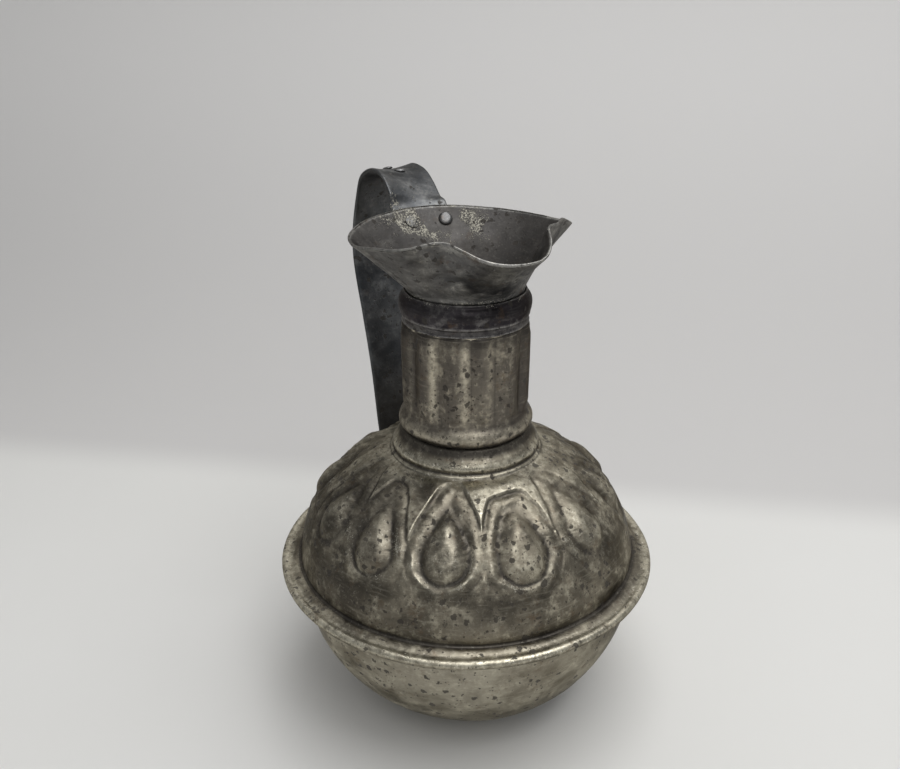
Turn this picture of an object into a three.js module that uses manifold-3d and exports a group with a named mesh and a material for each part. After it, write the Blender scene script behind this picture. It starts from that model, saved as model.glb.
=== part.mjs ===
// A hammered jug of tinned copper sheet: a round bowl, a domed shoulder with twelve raised drops,
// a fluted neck between two rings, a mouth pinched into a pouring lip, and a riveted strap handle.
// Millimetres. +Z is up, the origin is the middle of the base, the lip points to +X, the handle to -X.
import * as THREE from "three";
import { mergeVertices } from "three/addons/utils/BufferGeometryUtils.js";
import Module from "manifold-3d";

const wasm = await Module();
wasm.setup();

// Sheet and fits
const SHEET = 1.2; // wall of the bowl, shoulder and mouth
const NECK_SHEET = 1.5;
const STRAP_SHEET = 2.2;
const GAP = 0.3; // between seated pieces
const HOLE_CLEARANCE = 0.25; // rivet shank to hole, on the radius

// Bowl
const BOWL_HEIGHT = 78; // base to the middle of the seam
const BOWL_RADIUS = 86;
const BASE_RADIUS = 33;
const BOWL_FULLNESS = 2.2; // exponent of the wall's superellipse: 2 is an ellipse

// Folded seam
const FLANGE_RADIUS = 95;
const HEM_LENGTH = 7; // how far the fold returns under the bowl's lip
const FLANGE_LIP = 0.7; // hammered ridge along the flange's inner edge

// Domed shoulder
const DOME_RADIUS = 85;
const DOME_RISE = 63.4; // of the whole ellipse, above its widest line
const DOME_FOOT = 2; // height of the widest line above the seam
const COLLAR_RADIUS = 37.4; // where the dome meets the collar
const COLLAR_HEIGHT = 12.3;
const COLLAR_BULGE = 1.2;

// Raised drops on the shoulder
const DROP_COUNT = 12;
const DROP_PHASE = THREE.MathUtils.degToRad(-3.3);
const DROP_BULB_RADIUS = 10;
const DROP_TIP = 25; // bulb's centre to the drop's point
const DROP_REACH = 35.5; // dome's foot to the bulb's centre, along the wall
const BOSS_HEIGHT = 2.4;
const BOSS_EDGE = 6; // width of the boss's rounded shoulder
const GROOVE_DEPTH = 1;
const GROOVE_MIDDLE = 1.2; // distances outward from the drop's outline
const GROOVE_WIDTH = 1.5;
const RIDGE_HEIGHT = 1.8;
const RIDGE_MIDDLE = 4;
const RIDGE_WIDTH = 1.6;
const WEDGE_START = 8.5; // edge of the raised wedge between two drops
const WEDGE_EDGE = 2; // width of that edge's slope
const WEDGE_HEIGHT = 1.3;
const WEDGE_TIP = 10; // wedge's lower end above the bulb's centre

const DROP_LEVELS = [-BOSS_EDGE, -BOSS_EDGE / 2, 0, GROOVE_MIDDLE, RIDGE_MIDDLE,
  RIDGE_MIDDLE + 1.5 * RIDGE_WIDTH, WEDGE_START, WEDGE_START + WEDGE_EDGE];

// Neck
const NECK_RADIUS = 29.3; // at the creases between the lobes
const LOBE_COUNT = 12;
const LOBE_PHASE = THREE.MathUtils.degToRad(-5);
const LOBE_HEIGHT = 1.9;
const LOBE_END = 6; // length over which a lobe rounds off at either end
const NECK_HEIGHT = 66; // from the collar's top to the neck's upper edge
const LOWER_RING_RADIUS = 32.8;
const LOWER_RING_HEIGHT = 11.5;
const SOCKET_DEPTH = 16; // overlap of the neck with the shoulder's spigot and the mouth's
const BAND_HEIGHT = 15;
const BAND_RADIUS = 31.2;
const BAND_CAP = 2.4; // the band's turn over the neck's upper edge

// Mouth
const WAIST_RISE = 3.8; // neck's upper edge to the waist
const MOUTH_SLANT = 36; // waist to rim, along the wall
const MOUTH_FLARE = THREE.MathUtils.degToRad(49); // wall to the axis, away from the pinches
const THROAT_CURVE = 2.5; // length of the bend on either side of the waist
const PINCHES = [
  { name: "right of the lip", at: 41.6, depth: 25, width: 23 },
  { name: "left of the lip", at: -40.8, depth: 16, width: 20 },
  { name: "under the handle", at: 182, depth: 7, width: 27 },
];

// Strap handle
const STRAP_WIDTH = 30;
const STRAP_CHANNEL = 1.3; // how far the grip's edges turn up
const STRAP_TOP_LAP = 15; // length that lies on the mouth's wall
const STRAP_PAST_RIM = 1.5; // straight on past the rim before it bends
const STRAP_FOOT_LAP = 14; // length that lies on the shoulder
const STRAP_BLEND = 24; // length over which the strap's section changes past a seat
const STRAP_FOOT_RISE = 3; // strap's lower end above the seam, along the wall
const STRAP_TWISTS = [ // each lifts the strap's right edge, or lowers it, at a distance past its seat
  { at: 11, lift: -3.6, length: 18 },
  { at: 58, lift: 3, length: 18 },
];
const TWIST_START = 6; // length over which the twist sets in
const CREST_RISE = 14; // crest above the rim
const CREST_REACH = 28.3; // crest behind the rim
const GRIP_RADIUS = 113; // axis to the outermost point of the grip
const GRIP_DROP = 52; // crest to that point

// Rivets
const RIVET_RADIUS = 1.7;
const RIVET_SLACK = 0.45; // under a head or tail, because walls curve away from it
const HEAD_RADIUS = 3.7;
const HEAD_HEIGHT = 1.7;
const TAIL_RADIUS = 2.9;
const TAIL_HEIGHT = 1;
const CREST_HEAD_RADIUS = 2.9;
const CREST_HEAD_HEIGHT = 1;
const MOUTH_RIVET_HEIGHT = 28.5; // waist to rivet, along the wall
const MOUTH_RIVET_SIDES = [-7.3, 9.8]; // either side of the strap's middle
const FOOT_RIVET_SIDES = [-8, 8];
const CREST_RIVET_START = -2.8; // highest point to the front rivet
const CREST_RIVET_PITCH = 16.4;

// Facets
const ROUND_STEPS = 60;
const NECK_STEPS = 48;
const LOBE_STEPS = 6;
const RIVET_STEPS = 8;
const RIVET_CELL = 7; // length of the strap's cell round a rivet
const STRAP_STEP = 5;
const WELD = 0.08; // shortest edge that a cut may leave

// Heights that follow from the sizes above
const SEAM = BOWL_HEIGHT;
const FOLD_RADIUS = 1.5 * SHEET + GAP; // half the folded seam's height
const dome = new THREE.EllipseCurve(
  0, SEAM + DOME_FOOT, DOME_RADIUS, DOME_RISE, 0, Math.acos(COLLAR_RADIUS / DOME_RADIUS),
);
dome.arcLengthDivisions = 400;
const DOME_LENGTH = dome.getLength();
const COLLAR_BASE = dome.getPoint(1).y;
const COLLAR_TOP = COLLAR_BASE + COLLAR_HEIGHT;
const NECK_TOP = COLLAR_TOP + NECK_HEIGHT;
const NECK_BORE = NECK_RADIUS - NECK_SHEET;
const SPIGOT_RADIUS = NECK_BORE - GAP;
const WAIST = NECK_TOP + WAIST_RISE;

const around = (radius, height, azimuth) =>
  new THREE.Vector3(radius * Math.cos(azimuth), radius * Math.sin(azimuth), height);

// One ring of points round the axis, each placed by its azimuth.
function ring(count, place) {
  return Array.from({ length: count }, (_, i) => place((2 * Math.PI * i) / count));
}

// Triangles between two rings, whose counts may differ. The shorter diagonal wins each step.
function joinRings(faces, a, b) {
  const point = (side, i) => side.points[i % side.points.length];
  const index = (side, i) => side.start + (i % side.points.length);
  const stepsOf = (side) => (side.points.length > 1 ? side.points.length : 0);
  const slack = 3.5 / Math.min(a.points.length, b.points.length);
  let i = 0;
  let j = 0;
  while (i < stepsOf(a) || j < stepsOf(b)) {
    const lead = i / a.points.length - j / b.points.length;
    const alongA = point(a, i + 1).distanceTo(point(b, j));
    const alongB = point(a, i).distanceTo(point(b, j + 1));
    const stepA = Math.abs(lead) < slack ? alongA < alongB : lead < 0;
    if (j >= stepsOf(b) || (i < stepsOf(a) && stepA)) {
      faces.push(index(a, i), index(a, i + 1), index(b, j));
      i += 1;
    } else {
      faces.push(index(a, i), index(b, j + 1), index(b, j));
      j += 1;
    }
  }
}

// A surface of rings, each joined to the next. An endless one joins its last ring to its first.
function wallOfRings(rings, endless = true) {
  let start = 0;
  const sides = rings.map((points) => {
    const side = { points, start };
    start += points.length;
    return side;
  });
  const faces = [];
  sides.slice(1).forEach((side, i) => joinRings(faces, sides[i], side));
  if (endless) {
    joinRings(faces, sides.at(-1), sides[0]);
  }
  const positions = rings.flat().flatMap((p) => [p.x, p.y, p.z]);
  const geometry = new THREE.BufferGeometry();
  geometry.setAttribute("position", new THREE.Float32BufferAttribute(positions, 3));
  geometry.setIndex(faces);
  return geometry;
}

function solidOf(geometry) {
  const bare = geometry.clone();
  bare.deleteAttribute("normal");
  bare.deleteAttribute("uv");
  const merged = mergeVertices(bare, 1e-3);
  return new wasm.Manifold(new wasm.Mesh({
    numProp: 3,
    vertProperties: merged.attributes.position.array,
    triVerts: new Uint32Array(merged.index.array),
  }));
}

// A cut solid's geometry. Points that a cut leaves right beside an edge's end are merged with it.
function geometryOf(solid) {
  const mesh = solid.getMesh();
  const positions = new THREE.BufferAttribute(mesh.vertProperties, 3);
  const points = Array.from({ length: positions.count }, (_, i) =>
    new THREE.Vector3().fromBufferAttribute(positions, i));
  const first = points.map((point) => points.findIndex((other) => other.distanceTo(point) < WELD));
  const corners = Array.from(mesh.triVerts, (i) => first[i]);
  const faces = corners.filter((_, i) => {
    const start = i - (i % 3);
    return new Set(corners.slice(start, start + 3)).size === 3;
  });
  const geometry = new THREE.BufferGeometry();
  geometry.setAttribute("position", positions);
  geometry.setIndex(faces);
  return mergeVertices(geometry);
}

function named(name, geometry, colour, roughness) {
  geometry.computeVertexNormals();
  const material = new THREE.MeshStandardMaterial({ color: colour, roughness, metalness: 0.9 });
  const mesh = new THREE.Mesh(geometry, material);
  mesh.name = name;
  return mesh;
}

// A revolved profile of [radius, height] points, turned so that its axis is Z.
function revolved(points, steps) {
  const profile = points.map(([r, z]) => new THREE.Vector2(r, z));
  return new THREE.LatheGeometry(profile, steps).rotateX(Math.PI / 2);
}

// Points of an arc in a profile, by centre, radius and angles in degrees.
function arc(r, z, radius, from, to, steps) {
  return Array.from({ length: steps + 1 }, (_, i) => {
    const angle = THREE.MathUtils.degToRad(from + ((to - from) * i) / steps);
    return [r + radius * Math.cos(angle), z + radius * Math.sin(angle)];
  });
}

// Bowl: a superellipse wall on a flat base, with a lip turned out flat into the seam.
function bowlWall(inset, steps) {
  const radius = BOWL_RADIUS - inset;
  const height = BOWL_HEIGHT - inset;
  const baseRadius = BASE_RADIUS - inset;
  const depth = height / (1 - (baseRadius / radius) ** BOWL_FULLNESS) ** (1 / BOWL_FULLNESS);
  const end = Math.asin((height / depth) ** (BOWL_FULLNESS / 2));
  return Array.from({ length: steps + 1 }, (_, i) => {
    const angle = (end * i) / steps;
    const r = radius * Math.cos(angle) ** (2 / BOWL_FULLNESS);
    const z = SEAM - depth * Math.sin(angle) ** (2 / BOWL_FULLNESS);
    return [r, z];
  });
}

function makeBowl() {
  const lipRadius = FLANGE_RADIUS - FOLD_RADIUS - GAP;
  const outer = bowlWall(0, 8);
  const inner = bowlWall(SHEET, 7);
  outer[0] = [BOWL_RADIUS, SEAM - SHEET / 2];
  inner[0] = [BOWL_RADIUS - SHEET, SEAM + SHEET / 2];
  return revolved([
    [0, 0],
    ...outer.reverse(),
    [lipRadius, SEAM - SHEET / 2],
    [lipRadius, SEAM + SHEET / 2],
    ...inner,
    [0, SHEET],
  ], ROUND_STEPS);
}

// Level lines of a drop: 0 on its outline, negative inside, each one a larger or smaller drop.
function dropLevel(across, along) {
  const lean = DROP_BULB_RADIUS / DROP_TIP;
  const side = Math.sqrt(1 - lean * lean);
  const x = Math.abs(across);
  if (side * along < lean * x) {
    return Math.hypot(across, along) - DROP_BULB_RADIUS;
  }
  return side * x + lean * along - DROP_BULB_RADIUS;
}

// Half the width of a drop's level line at a height above its bulb's centre, or NaN off its ends.
function dropHalfWidth(level, along) {
  const radius = DROP_BULB_RADIUS + level;
  const lean = DROP_BULB_RADIUS / DROP_TIP;
  if (along < lean * radius) {
    return Math.sqrt(radius * radius - along * along);
  }
  return (radius - lean * along) / Math.sqrt(1 - lean * lean);
}

// One ring of the relief: its points lie where the drops' level lines cross it.
function reliefRing(length) {
  const radius = onDome(length, 0, 0).x;
  const pitch = (2 * Math.PI) / DROP_COUNT;
  const reach = (pitch * radius) / 2;
  const least = 0.8;
  const widths = DROP_LEVELS
    .map((level) => dropHalfWidth(level, length - DROP_REACH))
    .filter((width) => width > least && width < reach - least);
  const across = [-reach, ...widths.map((width) => -width).reverse(), 0, ...widths];
  return Array.from({ length: DROP_COUNT }, (_, i) => across.map((x) => {
    const azimuth = DROP_PHASE + i * pitch + x / radius;
    return onDome(length, azimuth, relief(length, azimuth, radius));
  })).flat();
}

const bump = (distance, width) => Math.exp(-((distance / width) ** 2));

// Height of the hammered relief above the plain dome, at a length along the wall and an azimuth.
function relief(length, azimuth, radius) {
  const pitch = (2 * Math.PI) / DROP_COUNT;
  const turn = azimuth - DROP_PHASE;
  const across = (turn - pitch * Math.round(turn / pitch)) * radius;
  const along = length - DROP_REACH;
  const level = dropLevel(across, along);
  const { smoothstep } = THREE.MathUtils;
  const boss = BOSS_HEIGHT * smoothstep(-level, 0, BOSS_EDGE);
  const groove = GROOVE_DEPTH * bump(level - GROOVE_MIDDLE, GROOVE_WIDTH);
  const ridge = RIDGE_HEIGHT * bump(level - RIDGE_MIDDLE, RIDGE_WIDTH);
  const wedge = WEDGE_HEIGHT * smoothstep(level, WEDGE_START, WEDGE_START + WEDGE_EDGE)
    * smoothstep(along, WEDGE_TIP - WEDGE_EDGE, WEDGE_TIP + WEDGE_EDGE);
  const fade = smoothstep(DOME_LENGTH - length, 0, 4);
  return (boss - groove + ridge + wedge) * fade;
}

// A point on the dome's wall, by length up from its foot, and height above the plain wall.
function onDome(length, azimuth, offset) {
  const share = THREE.MathUtils.clamp(length / DOME_LENGTH, 0, 1);
  const base = dome.getPointAt(share);
  const tangent = dome.getTangentAt(share);
  return around(base.x + tangent.y * offset, base.y - tangent.x * offset, azimuth);
}

function makeShoulder() {
  const start = DROP_PHASE - Math.PI / DROP_COUNT;
  const plain = (r, z, steps = ROUND_STEPS) => ring(steps, (azimuth) => around(r, z, start + azimuth));
  const profile = (points, steps) => points.map(([r, z]) => plain(r, z, steps));
  const slotRadius = FLANGE_RADIUS - FOLD_RADIUS + GAP / 2;
  const slot = SHEET / 2 + GAP;
  const edge = FLANGE_RADIUS - FOLD_RADIUS;
  const fold = profile([
    [slotRadius, SEAM + slot],
    [slotRadius, SEAM - slot],
    [FLANGE_RADIUS - FOLD_RADIUS - HEM_LENGTH + GAP, SEAM - slot],
    [FLANGE_RADIUS - FOLD_RADIUS - HEM_LENGTH + GAP, SEAM - FOLD_RADIUS],
    ...arc(edge, SEAM, FOLD_RADIUS, -90, 90, 4),
    [DOME_RADIUS + 3 * SHEET, SEAM + FOLD_RADIUS + FLANGE_LIP],
    [DOME_RADIUS + SHEET, SEAM + FOLD_RADIUS],
  ]);
  const bulb = [-1.7, -1.4, -1.12, -0.9, -0.5, 0, 0.4]
    .map((share) => DROP_REACH + share * DROP_BULB_RADIUS);
  const lower = [0.12, 0.45, 0.8].map((share) => {
    const at = onDome(share * bulb[0], 0, 0);
    return plain(at.x, at.z);
  });
  const tip = DROP_REACH + DROP_TIP;
  const point = [0.35, 0.55, 0.75, 1].map((share) => DROP_REACH + share * DROP_TIP);
  const collarRows = [0.3, 0.6, 0.85, 1].map((share) => tip + share * (DOME_LENGTH - tip));
  const raised = [...bulb, ...point, ...collarRows].map(reliefRing);
  const collar = profile([
    [(COLLAR_RADIUS + LOWER_RING_RADIUS) / 2 + COLLAR_BULGE, COLLAR_BASE + COLLAR_HEIGHT / 2],
    [LOWER_RING_RADIUS, COLLAR_TOP],
    [SPIGOT_RADIUS, COLLAR_TOP],
    [SPIGOT_RADIUS, COLLAR_TOP + SOCKET_DEPTH],
    [SPIGOT_RADIUS - SHEET, COLLAR_TOP + SOCKET_DEPTH],
    [SPIGOT_RADIUS - SHEET, COLLAR_TOP - SHEET],
    [LOWER_RING_RADIUS - SHEET, COLLAR_TOP - SHEET],
  ], NECK_STEPS);
  const wall = SHEET + GROOVE_DEPTH;
  const insideRows = 9;
  const inside = Array.from({ length: insideRows + 1 }, (_, i) => {
    const at = onDome(DOME_LENGTH * (1 - i / insideRows), 0, -wall);
    return plain(at.x, Math.max(at.z, SEAM + slot));
  });
  return wallOfRings([...fold, ...lower, ...raised, ...collar, ...inside]);
}

// Neck: lobes round an even bore, flared at the bottom into a ring that stands on the collar.
function lobe(azimuth) {
  const share = ((azimuth - LOBE_PHASE) * LOBE_COUNT) / (2 * Math.PI);
  const across = 2 * (share - Math.round(share));
  return (1 - across * across) ** 0.6;
}

function makeNeck() {
  const plain = (r, z) => ring(LOBE_STEPS * LOBE_COUNT / 2, (azimuth) => around(r, z, azimuth));
  const bottom = COLLAR_TOP + GAP;
  const ringTop = COLLAR_TOP + LOWER_RING_HEIGHT;
  const bandBottom = NECK_TOP + BAND_CAP + GAP - BAND_HEIGHT;
  const fluted = (height, swell) => ring(LOBE_STEPS * LOBE_COUNT, (azimuth) => {
    const turned = azimuth + LOBE_PHASE;
    return around(NECK_RADIUS + LOBE_HEIGHT * swell * lobe(turned), height, turned);
  });
  const lobeHeights = [0, 0.35, 0.7, 1];
  const ringMiddle = COLLAR_TOP + 0.38 * LOWER_RING_HEIGHT;
  const flare = LOWER_RING_RADIUS - NECK_SHEET;
  return wallOfRings([
    plain(NECK_BORE, NECK_TOP),
    plain(NECK_BORE, COLLAR_TOP + SOCKET_DEPTH + NECK_SHEET),
    plain(NECK_BORE, ringTop),
    plain(flare, ringMiddle),
    plain(flare, bottom),
    plain(LOWER_RING_RADIUS - GAP, bottom),
    plain(LOWER_RING_RADIUS, bottom + NECK_SHEET),
    plain(LOWER_RING_RADIUS, ringMiddle),
    plain((LOWER_RING_RADIUS + NECK_RADIUS) / 2, (ringMiddle + ringTop) / 2),
    ...lobeHeights.map((t) => fluted(ringTop + LOBE_END * t, Math.sqrt(t))),
    fluted((ringTop + bandBottom) / 2, 1.05),
    ...lobeHeights.reverse().map((t) => fluted(bandBottom - GAP - LOBE_END * t, Math.sqrt(t))),
    plain(NECK_RADIUS, bandBottom),
    plain(NECK_RADIUS, NECK_TOP),
  ]);
}

// Half-round band over the joint of neck and mouth.
function makeNeckBand() {
  const inner = NECK_RADIUS + GAP;
  const throat = SPIGOT_RADIUS + 2 * GAP;
  const top = NECK_TOP + GAP + BAND_CAP;
  const bottom = top - BAND_HEIGHT;
  const bulge = BAND_RADIUS - inner;
  const steps = 5;
  const shape = Array.from({ length: steps }, (_, i) => {
    const share = (i + 0.5) / steps;
    const swell = Math.sin(Math.PI * Math.min(1, share * 1.08)) ** 0.7;
    return [inner + bulge * swell, bottom + BAND_HEIGHT * share];
  });
  return revolved([
    [inner, bottom],
    [inner + GAP, bottom],
    ...shape.slice(0, -1),
    [throat + SHEET, top],
    [throat, top],
    [throat, NECK_TOP + GAP],
    [inner, NECK_TOP + GAP],
    [inner, bottom],
  ], NECK_STEPS);
}

// Lean of the mouth's wall out from the axis at an azimuth, less at each pinch.
function leanAt(azimuth) {
  const degrees = THREE.MathUtils.radToDeg(azimuth);
  return PINCHES.reduce((lean, pinch) => {
    const off = THREE.MathUtils.euclideanModulo(degrees - pinch.at + 180, 360) - 180;
    return lean - THREE.MathUtils.degToRad(pinch.depth) * bump(off, pinch.width);
  }, MOUTH_FLARE);
}

// A point on the mouth's outer wall, by length up from the waist, and height above that wall.
function onMouth(length, azimuth, offset) {
  const lean = leanAt(azimuth);
  const bend = THREE.MathUtils.clamp((length + THROAT_CURVE) / (2 * THROAT_CURVE), 0, 1);
  const inBend = length < THROAT_CURVE;
  const slant = inBend ? THROAT_CURVE * bend * bend : length;
  const below = inBend ? THROAT_CURVE * (1 - bend) ** 2 : 0;
  const radius = SPIGOT_RADIUS + slant * Math.sin(lean) + offset * Math.cos(lean * bend);
  const height = WAIST + slant * Math.cos(lean) - below - offset * Math.sin(lean * bend);
  return around(radius, height, azimuth);
}

function makeMouth() {
  const slant = MOUTH_SLANT + THROAT_CURVE;
  const wall = (offset) => [0, 0.06, 0.12, 0.35, 0.6, 0.8, 1].map((share) =>
    ring(NECK_STEPS, (azimuth) => onMouth(slant * share - THROAT_CURVE, azimuth, offset)));
  const plain = (r, z) => ring(NECK_STEPS, (azimuth) => around(r, z, azimuth));
  const bottom = NECK_TOP - SOCKET_DEPTH;
  return wallOfRings([
    plain(SPIGOT_RADIUS - SHEET, bottom),
    plain(SPIGOT_RADIUS, bottom),
    ...wall(0),
    ...wall(-SHEET).reverse(),
  ]);
}

// Outward normal of a wall, where the wall is given as a point by length, azimuth and offset.
function normalOn(onWall, length, azimuth) {
  const step = 0.01;
  const up = onWall(length + step, azimuth, 0).sub(onWall(length - step, azimuth, 0));
  const round = onWall(length, azimuth + step, 0).sub(onWall(length, azimuth - step, 0));
  return round.cross(up).normalize();
}

// Azimuth of a point on the handle's side of a wall, by its distance from the strap's middle.
function handleAzimuth(onWall, length, across) {
  return Math.PI - Math.asin(across / Math.abs(onWall(length, Math.PI, 0).x));
}

// Middle line of the strap in the plane y = 0, from the mouth's wall over the crest to the shoulder.
function strapLine() {
  const seat = GAP + STRAP_SHEET / 2;
  const rim = onMouth(MOUTH_SLANT, Math.PI, seat);
  const footTop = STRAP_FOOT_RISE + STRAP_FOOT_LAP;
  const crest = new THREE.Vector3(rim.x - CREST_REACH, 0, rim.z + CREST_RISE);
  const grip = new THREE.Vector3(-GRIP_RADIUS, 0, crest.z - GRIP_DROP);
  const foot = (length) => onDome(length, Math.PI, seat);
  const bend = new THREE.Vector3(foot(footTop).x - 1, 0, foot(footTop).z + 16);
  const between = (a, b, share, out) =>
    a.clone().lerp(b, share).add(new THREE.Vector3(-out, 0, 0));
  return new THREE.CatmullRomCurve3([
    onMouth(MOUTH_SLANT - STRAP_TOP_LAP, Math.PI, seat),
    onMouth(MOUTH_SLANT - STRAP_TOP_LAP / 2, Math.PI, seat),
    onMouth(MOUTH_SLANT + STRAP_PAST_RIM, Math.PI, seat),
    new THREE.Vector3(rim.x - CREST_REACH * 0.21, 0, rim.z + CREST_RISE * 0.42),
    new THREE.Vector3(rim.x - CREST_REACH * 0.5, 0, rim.z + CREST_RISE * 0.81),
    crest,
    new THREE.Vector3((crest.x + grip.x) / 2 - 2.2, 0, crest.z - 4.8),
    new THREE.Vector3(grip.x + 2.7, 0, crest.z - GRIP_DROP * 0.54),
    grip,
    between(grip, bend, 0.32, -1.5),
    between(grip, bend, 0.64, -3),
    bend,
    foot(footTop),
    foot(STRAP_FOOT_RISE + STRAP_FOOT_LAP / 2),
    foot(STRAP_FOOT_RISE),
  ], false, "centripetal");
}

const STRAP_SEAT_END = STRAP_TOP_LAP + STRAP_PAST_RIM;
const strap = strapLine();
strap.arcLengthDivisions = 400;
const STRAP_LENGTH = strap.getLength();

const strapPoint = (distance) => strap.getPointAt(distance / STRAP_LENGTH);

// Unit vector square to the strap at a distance from its top end, on the side away from the jug.
function strapNormal(distance) {
  const tangent = strap.getTangentAt(distance / STRAP_LENGTH);
  return new THREE.Vector3(tangent.z, 0, -tangent.x);
}

// Distance from the strap's top end to its highest point.
const crestDistance = Array.from({ length: 400 }, (_, i) => (i / 400) * STRAP_LENGTH)
  .reduce((best, distance) => (strapPoint(distance).z > strapPoint(best).z ? distance : best));

// A row of the strap that lies on a wall, as a point by column (-1 to 1) and side (-1 or 1).
// The side that faces up on the crest is the one that meets the mouth, so it is turned there.
function seatedRow(onWall, length, turned = 1) {
  const middle = GAP + STRAP_SHEET / 2;
  return (column, side) => onWall(
    length,
    handleAzimuth(onWall, length, (column * STRAP_WIDTH) / 2),
    middle + (turned * side * STRAP_SHEET) / 2,
  );
}

// How far a row's edges stand out from its middle, away from the jug.
function edgeRise(row, distance) {
  return row(1, 0).sub(row(0, 0)).dot(strapNormal(distance));
}

// Lift of the strap's right edge by its twist, which sets in just past the seat on the mouth.
function twistAt(distance) {
  const past = distance - STRAP_SEAT_END;
  const lifts = STRAP_TWISTS.map(({ at, lift, length }) => lift * bump(past - at, length));
  const lift = lifts.reduce((sum, one) => sum + one, 0);
  return lift * THREE.MathUtils.smoothstep(past, 0, TWIST_START);
}

function strapRow(distance) {
  const fromFoot = STRAP_LENGTH - distance;
  if (distance <= STRAP_SEAT_END) {
    return seatedRow(onMouth, MOUTH_SLANT - STRAP_TOP_LAP + distance, -1);
  }
  if (fromFoot <= STRAP_FOOT_LAP) {
    return seatedRow(onDome, STRAP_FOOT_RISE + fromFoot);
  }
  const { lerp, smoothstep } = THREE.MathUtils;
  const footEnd = STRAP_FOOT_RISE + STRAP_FOOT_LAP;
  const top = edgeRise(seatedRow(onMouth, MOUTH_SLANT + STRAP_PAST_RIM, -1), STRAP_SEAT_END);
  const foot = edgeRise(seatedRow(onDome, footEnd), STRAP_LENGTH - STRAP_FOOT_LAP);
  const below = smoothstep(distance, STRAP_SEAT_END, STRAP_SEAT_END + STRAP_BLEND);
  const above = smoothstep(fromFoot, STRAP_FOOT_LAP, STRAP_FOOT_LAP + STRAP_BLEND);
  const rise = lerp(foot, lerp(top, STRAP_CHANNEL, below), above);
  const centre = strapPoint(distance);
  const normal = strapNormal(distance);
  const twist = twistAt(distance);
  return (column, side) => centre.clone()
    .addScaledVector(normal, rise * column * column + twist * column + (side * STRAP_SHEET) / 2)
    .add(new THREE.Vector3(0, (column * STRAP_WIDTH) / 2, 0));
}

// Distances of the rows: each rivet sits in the middle of one long cell, with even cells between.
function strapStations() {
  const rivetsAt = [
    MOUTH_RIVET_HEIGHT - MOUTH_SLANT + STRAP_TOP_LAP,
    crestDistance + CREST_RIVET_START,
    crestDistance + CREST_RIVET_START + CREST_RIVET_PITCH,
    STRAP_LENGTH - STRAP_FOOT_LAP / 2,
  ];
  const marks = [0, ...rivetsAt.flatMap((at) => [at - RIVET_CELL / 2, at + RIVET_CELL / 2])];
  return marks.flatMap((from, i) => {
    const span = (marks[i + 1] ?? STRAP_LENGTH) - from;
    const cells = i % 2 ? 1 : Math.ceil(span / STRAP_STEP);
    return Array.from({ length: cells }, (_, k) => from + (span * k) / cells);
  }).concat(STRAP_LENGTH);
}

function makeStrap() {
  const columns = [-1, -0.83, -0.33, 0.33, 0.83, 1];
  const outline = (row, half) => [
    ...columns.map((column) => row(column, half)),
    ...columns.map((column) => row(column, -half)).reverse(),
  ];
  const rows = strapStations().map(strapRow);
  return wallOfRings([
    outline(rows[0], 0),
    ...rows.map((row) => outline(row, 1)),
    outline(rows.at(-1), 0),
  ], false);
}

// Rivets. Each seat says where the head sits, which way it faces, and how much it grips.
function mouthSeat(side) {
  const azimuth = handleAzimuth(onMouth, MOUTH_RIVET_HEIGHT, side);
  const outward = normalOn(onMouth, MOUTH_RIVET_HEIGHT, azimuth);
  const at = onMouth(MOUTH_RIVET_HEIGHT, azimuth, -SHEET);
  return { at, facing: outward.negate(), grip: SHEET + GAP + STRAP_SHEET };
}

function footSeat(side) {
  const length = STRAP_FOOT_RISE + STRAP_FOOT_LAP / 2;
  const azimuth = handleAzimuth(onDome, length, side);
  const at = onDome(length, azimuth, GAP + STRAP_SHEET);
  const facing = normalOn(onDome, length, azimuth);
  return { at, facing, grip: SHEET + GROOVE_DEPTH + GAP + STRAP_SHEET };
}

function crestSeat(behind) {
  const distance = crestDistance + behind;
  const tilt = new THREE.Vector3(0, -twistAt(distance) / (STRAP_WIDTH / 2), 0);
  const facing = strapNormal(distance).add(tilt).normalize();
  const at = strapPoint(distance).addScaledVector(facing, STRAP_SHEET / 2);
  return { at, facing, grip: STRAP_SHEET };
}

const turnTo = (facing) =>
  new THREE.Quaternion().setFromUnitVectors(new THREE.Vector3(0, 0, 1), facing);

// Head at the top, shank down through the grip, and the hammered tail below it.
function rivetGeometry(seat, headRadius, headHeight) {
  const tailTop = -seat.grip - RIVET_SLACK;
  const dish = (radius, height, from, up) => [
    [radius, from],
    [radius * 0.92, from + up * height * 0.5],
    [radius * 0.55, from + up * height],
  ];
  return revolved([
    [0, tailTop - TAIL_HEIGHT],
    ...dish(TAIL_RADIUS, TAIL_HEIGHT, tailTop, -1).reverse(),
    [RIVET_RADIUS, tailTop],
    [RIVET_RADIUS, RIVET_SLACK],
    ...dish(headRadius, headHeight, RIVET_SLACK, 1),
    [0, RIVET_SLACK + headHeight],
  ], RIVET_STEPS);
}

function drill(seats) {
  return seats.map((seat) => {
    const reach = 2 * seat.grip;
    const bit = new THREE.CylinderGeometry(
      RIVET_RADIUS + HOLE_CLEARANCE, RIVET_RADIUS + HOLE_CLEARANCE, 2 * reach, RIVET_STEPS,
    ).rotateX(Math.PI / 2);
    bit.applyQuaternion(turnTo(seat.facing));
    bit.translate(...seat.at.clone().addScaledVector(seat.facing, -seat.grip / 2).toArray());
    return solidOf(bit);
  });
}

const withHoles = (geometry, seats) =>
  geometryOf(drill(seats).reduce((solid, bit) => solid.subtract(bit), solidOf(geometry)));

const mouthSeats = MOUTH_RIVET_SIDES.map(mouthSeat);
const footSeats = FOOT_RIVET_SIDES.map(footSeat);
const crestSeats = [CREST_RIVET_START, CREST_RIVET_START + CREST_RIVET_PITCH].map(crestSeat);

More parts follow.
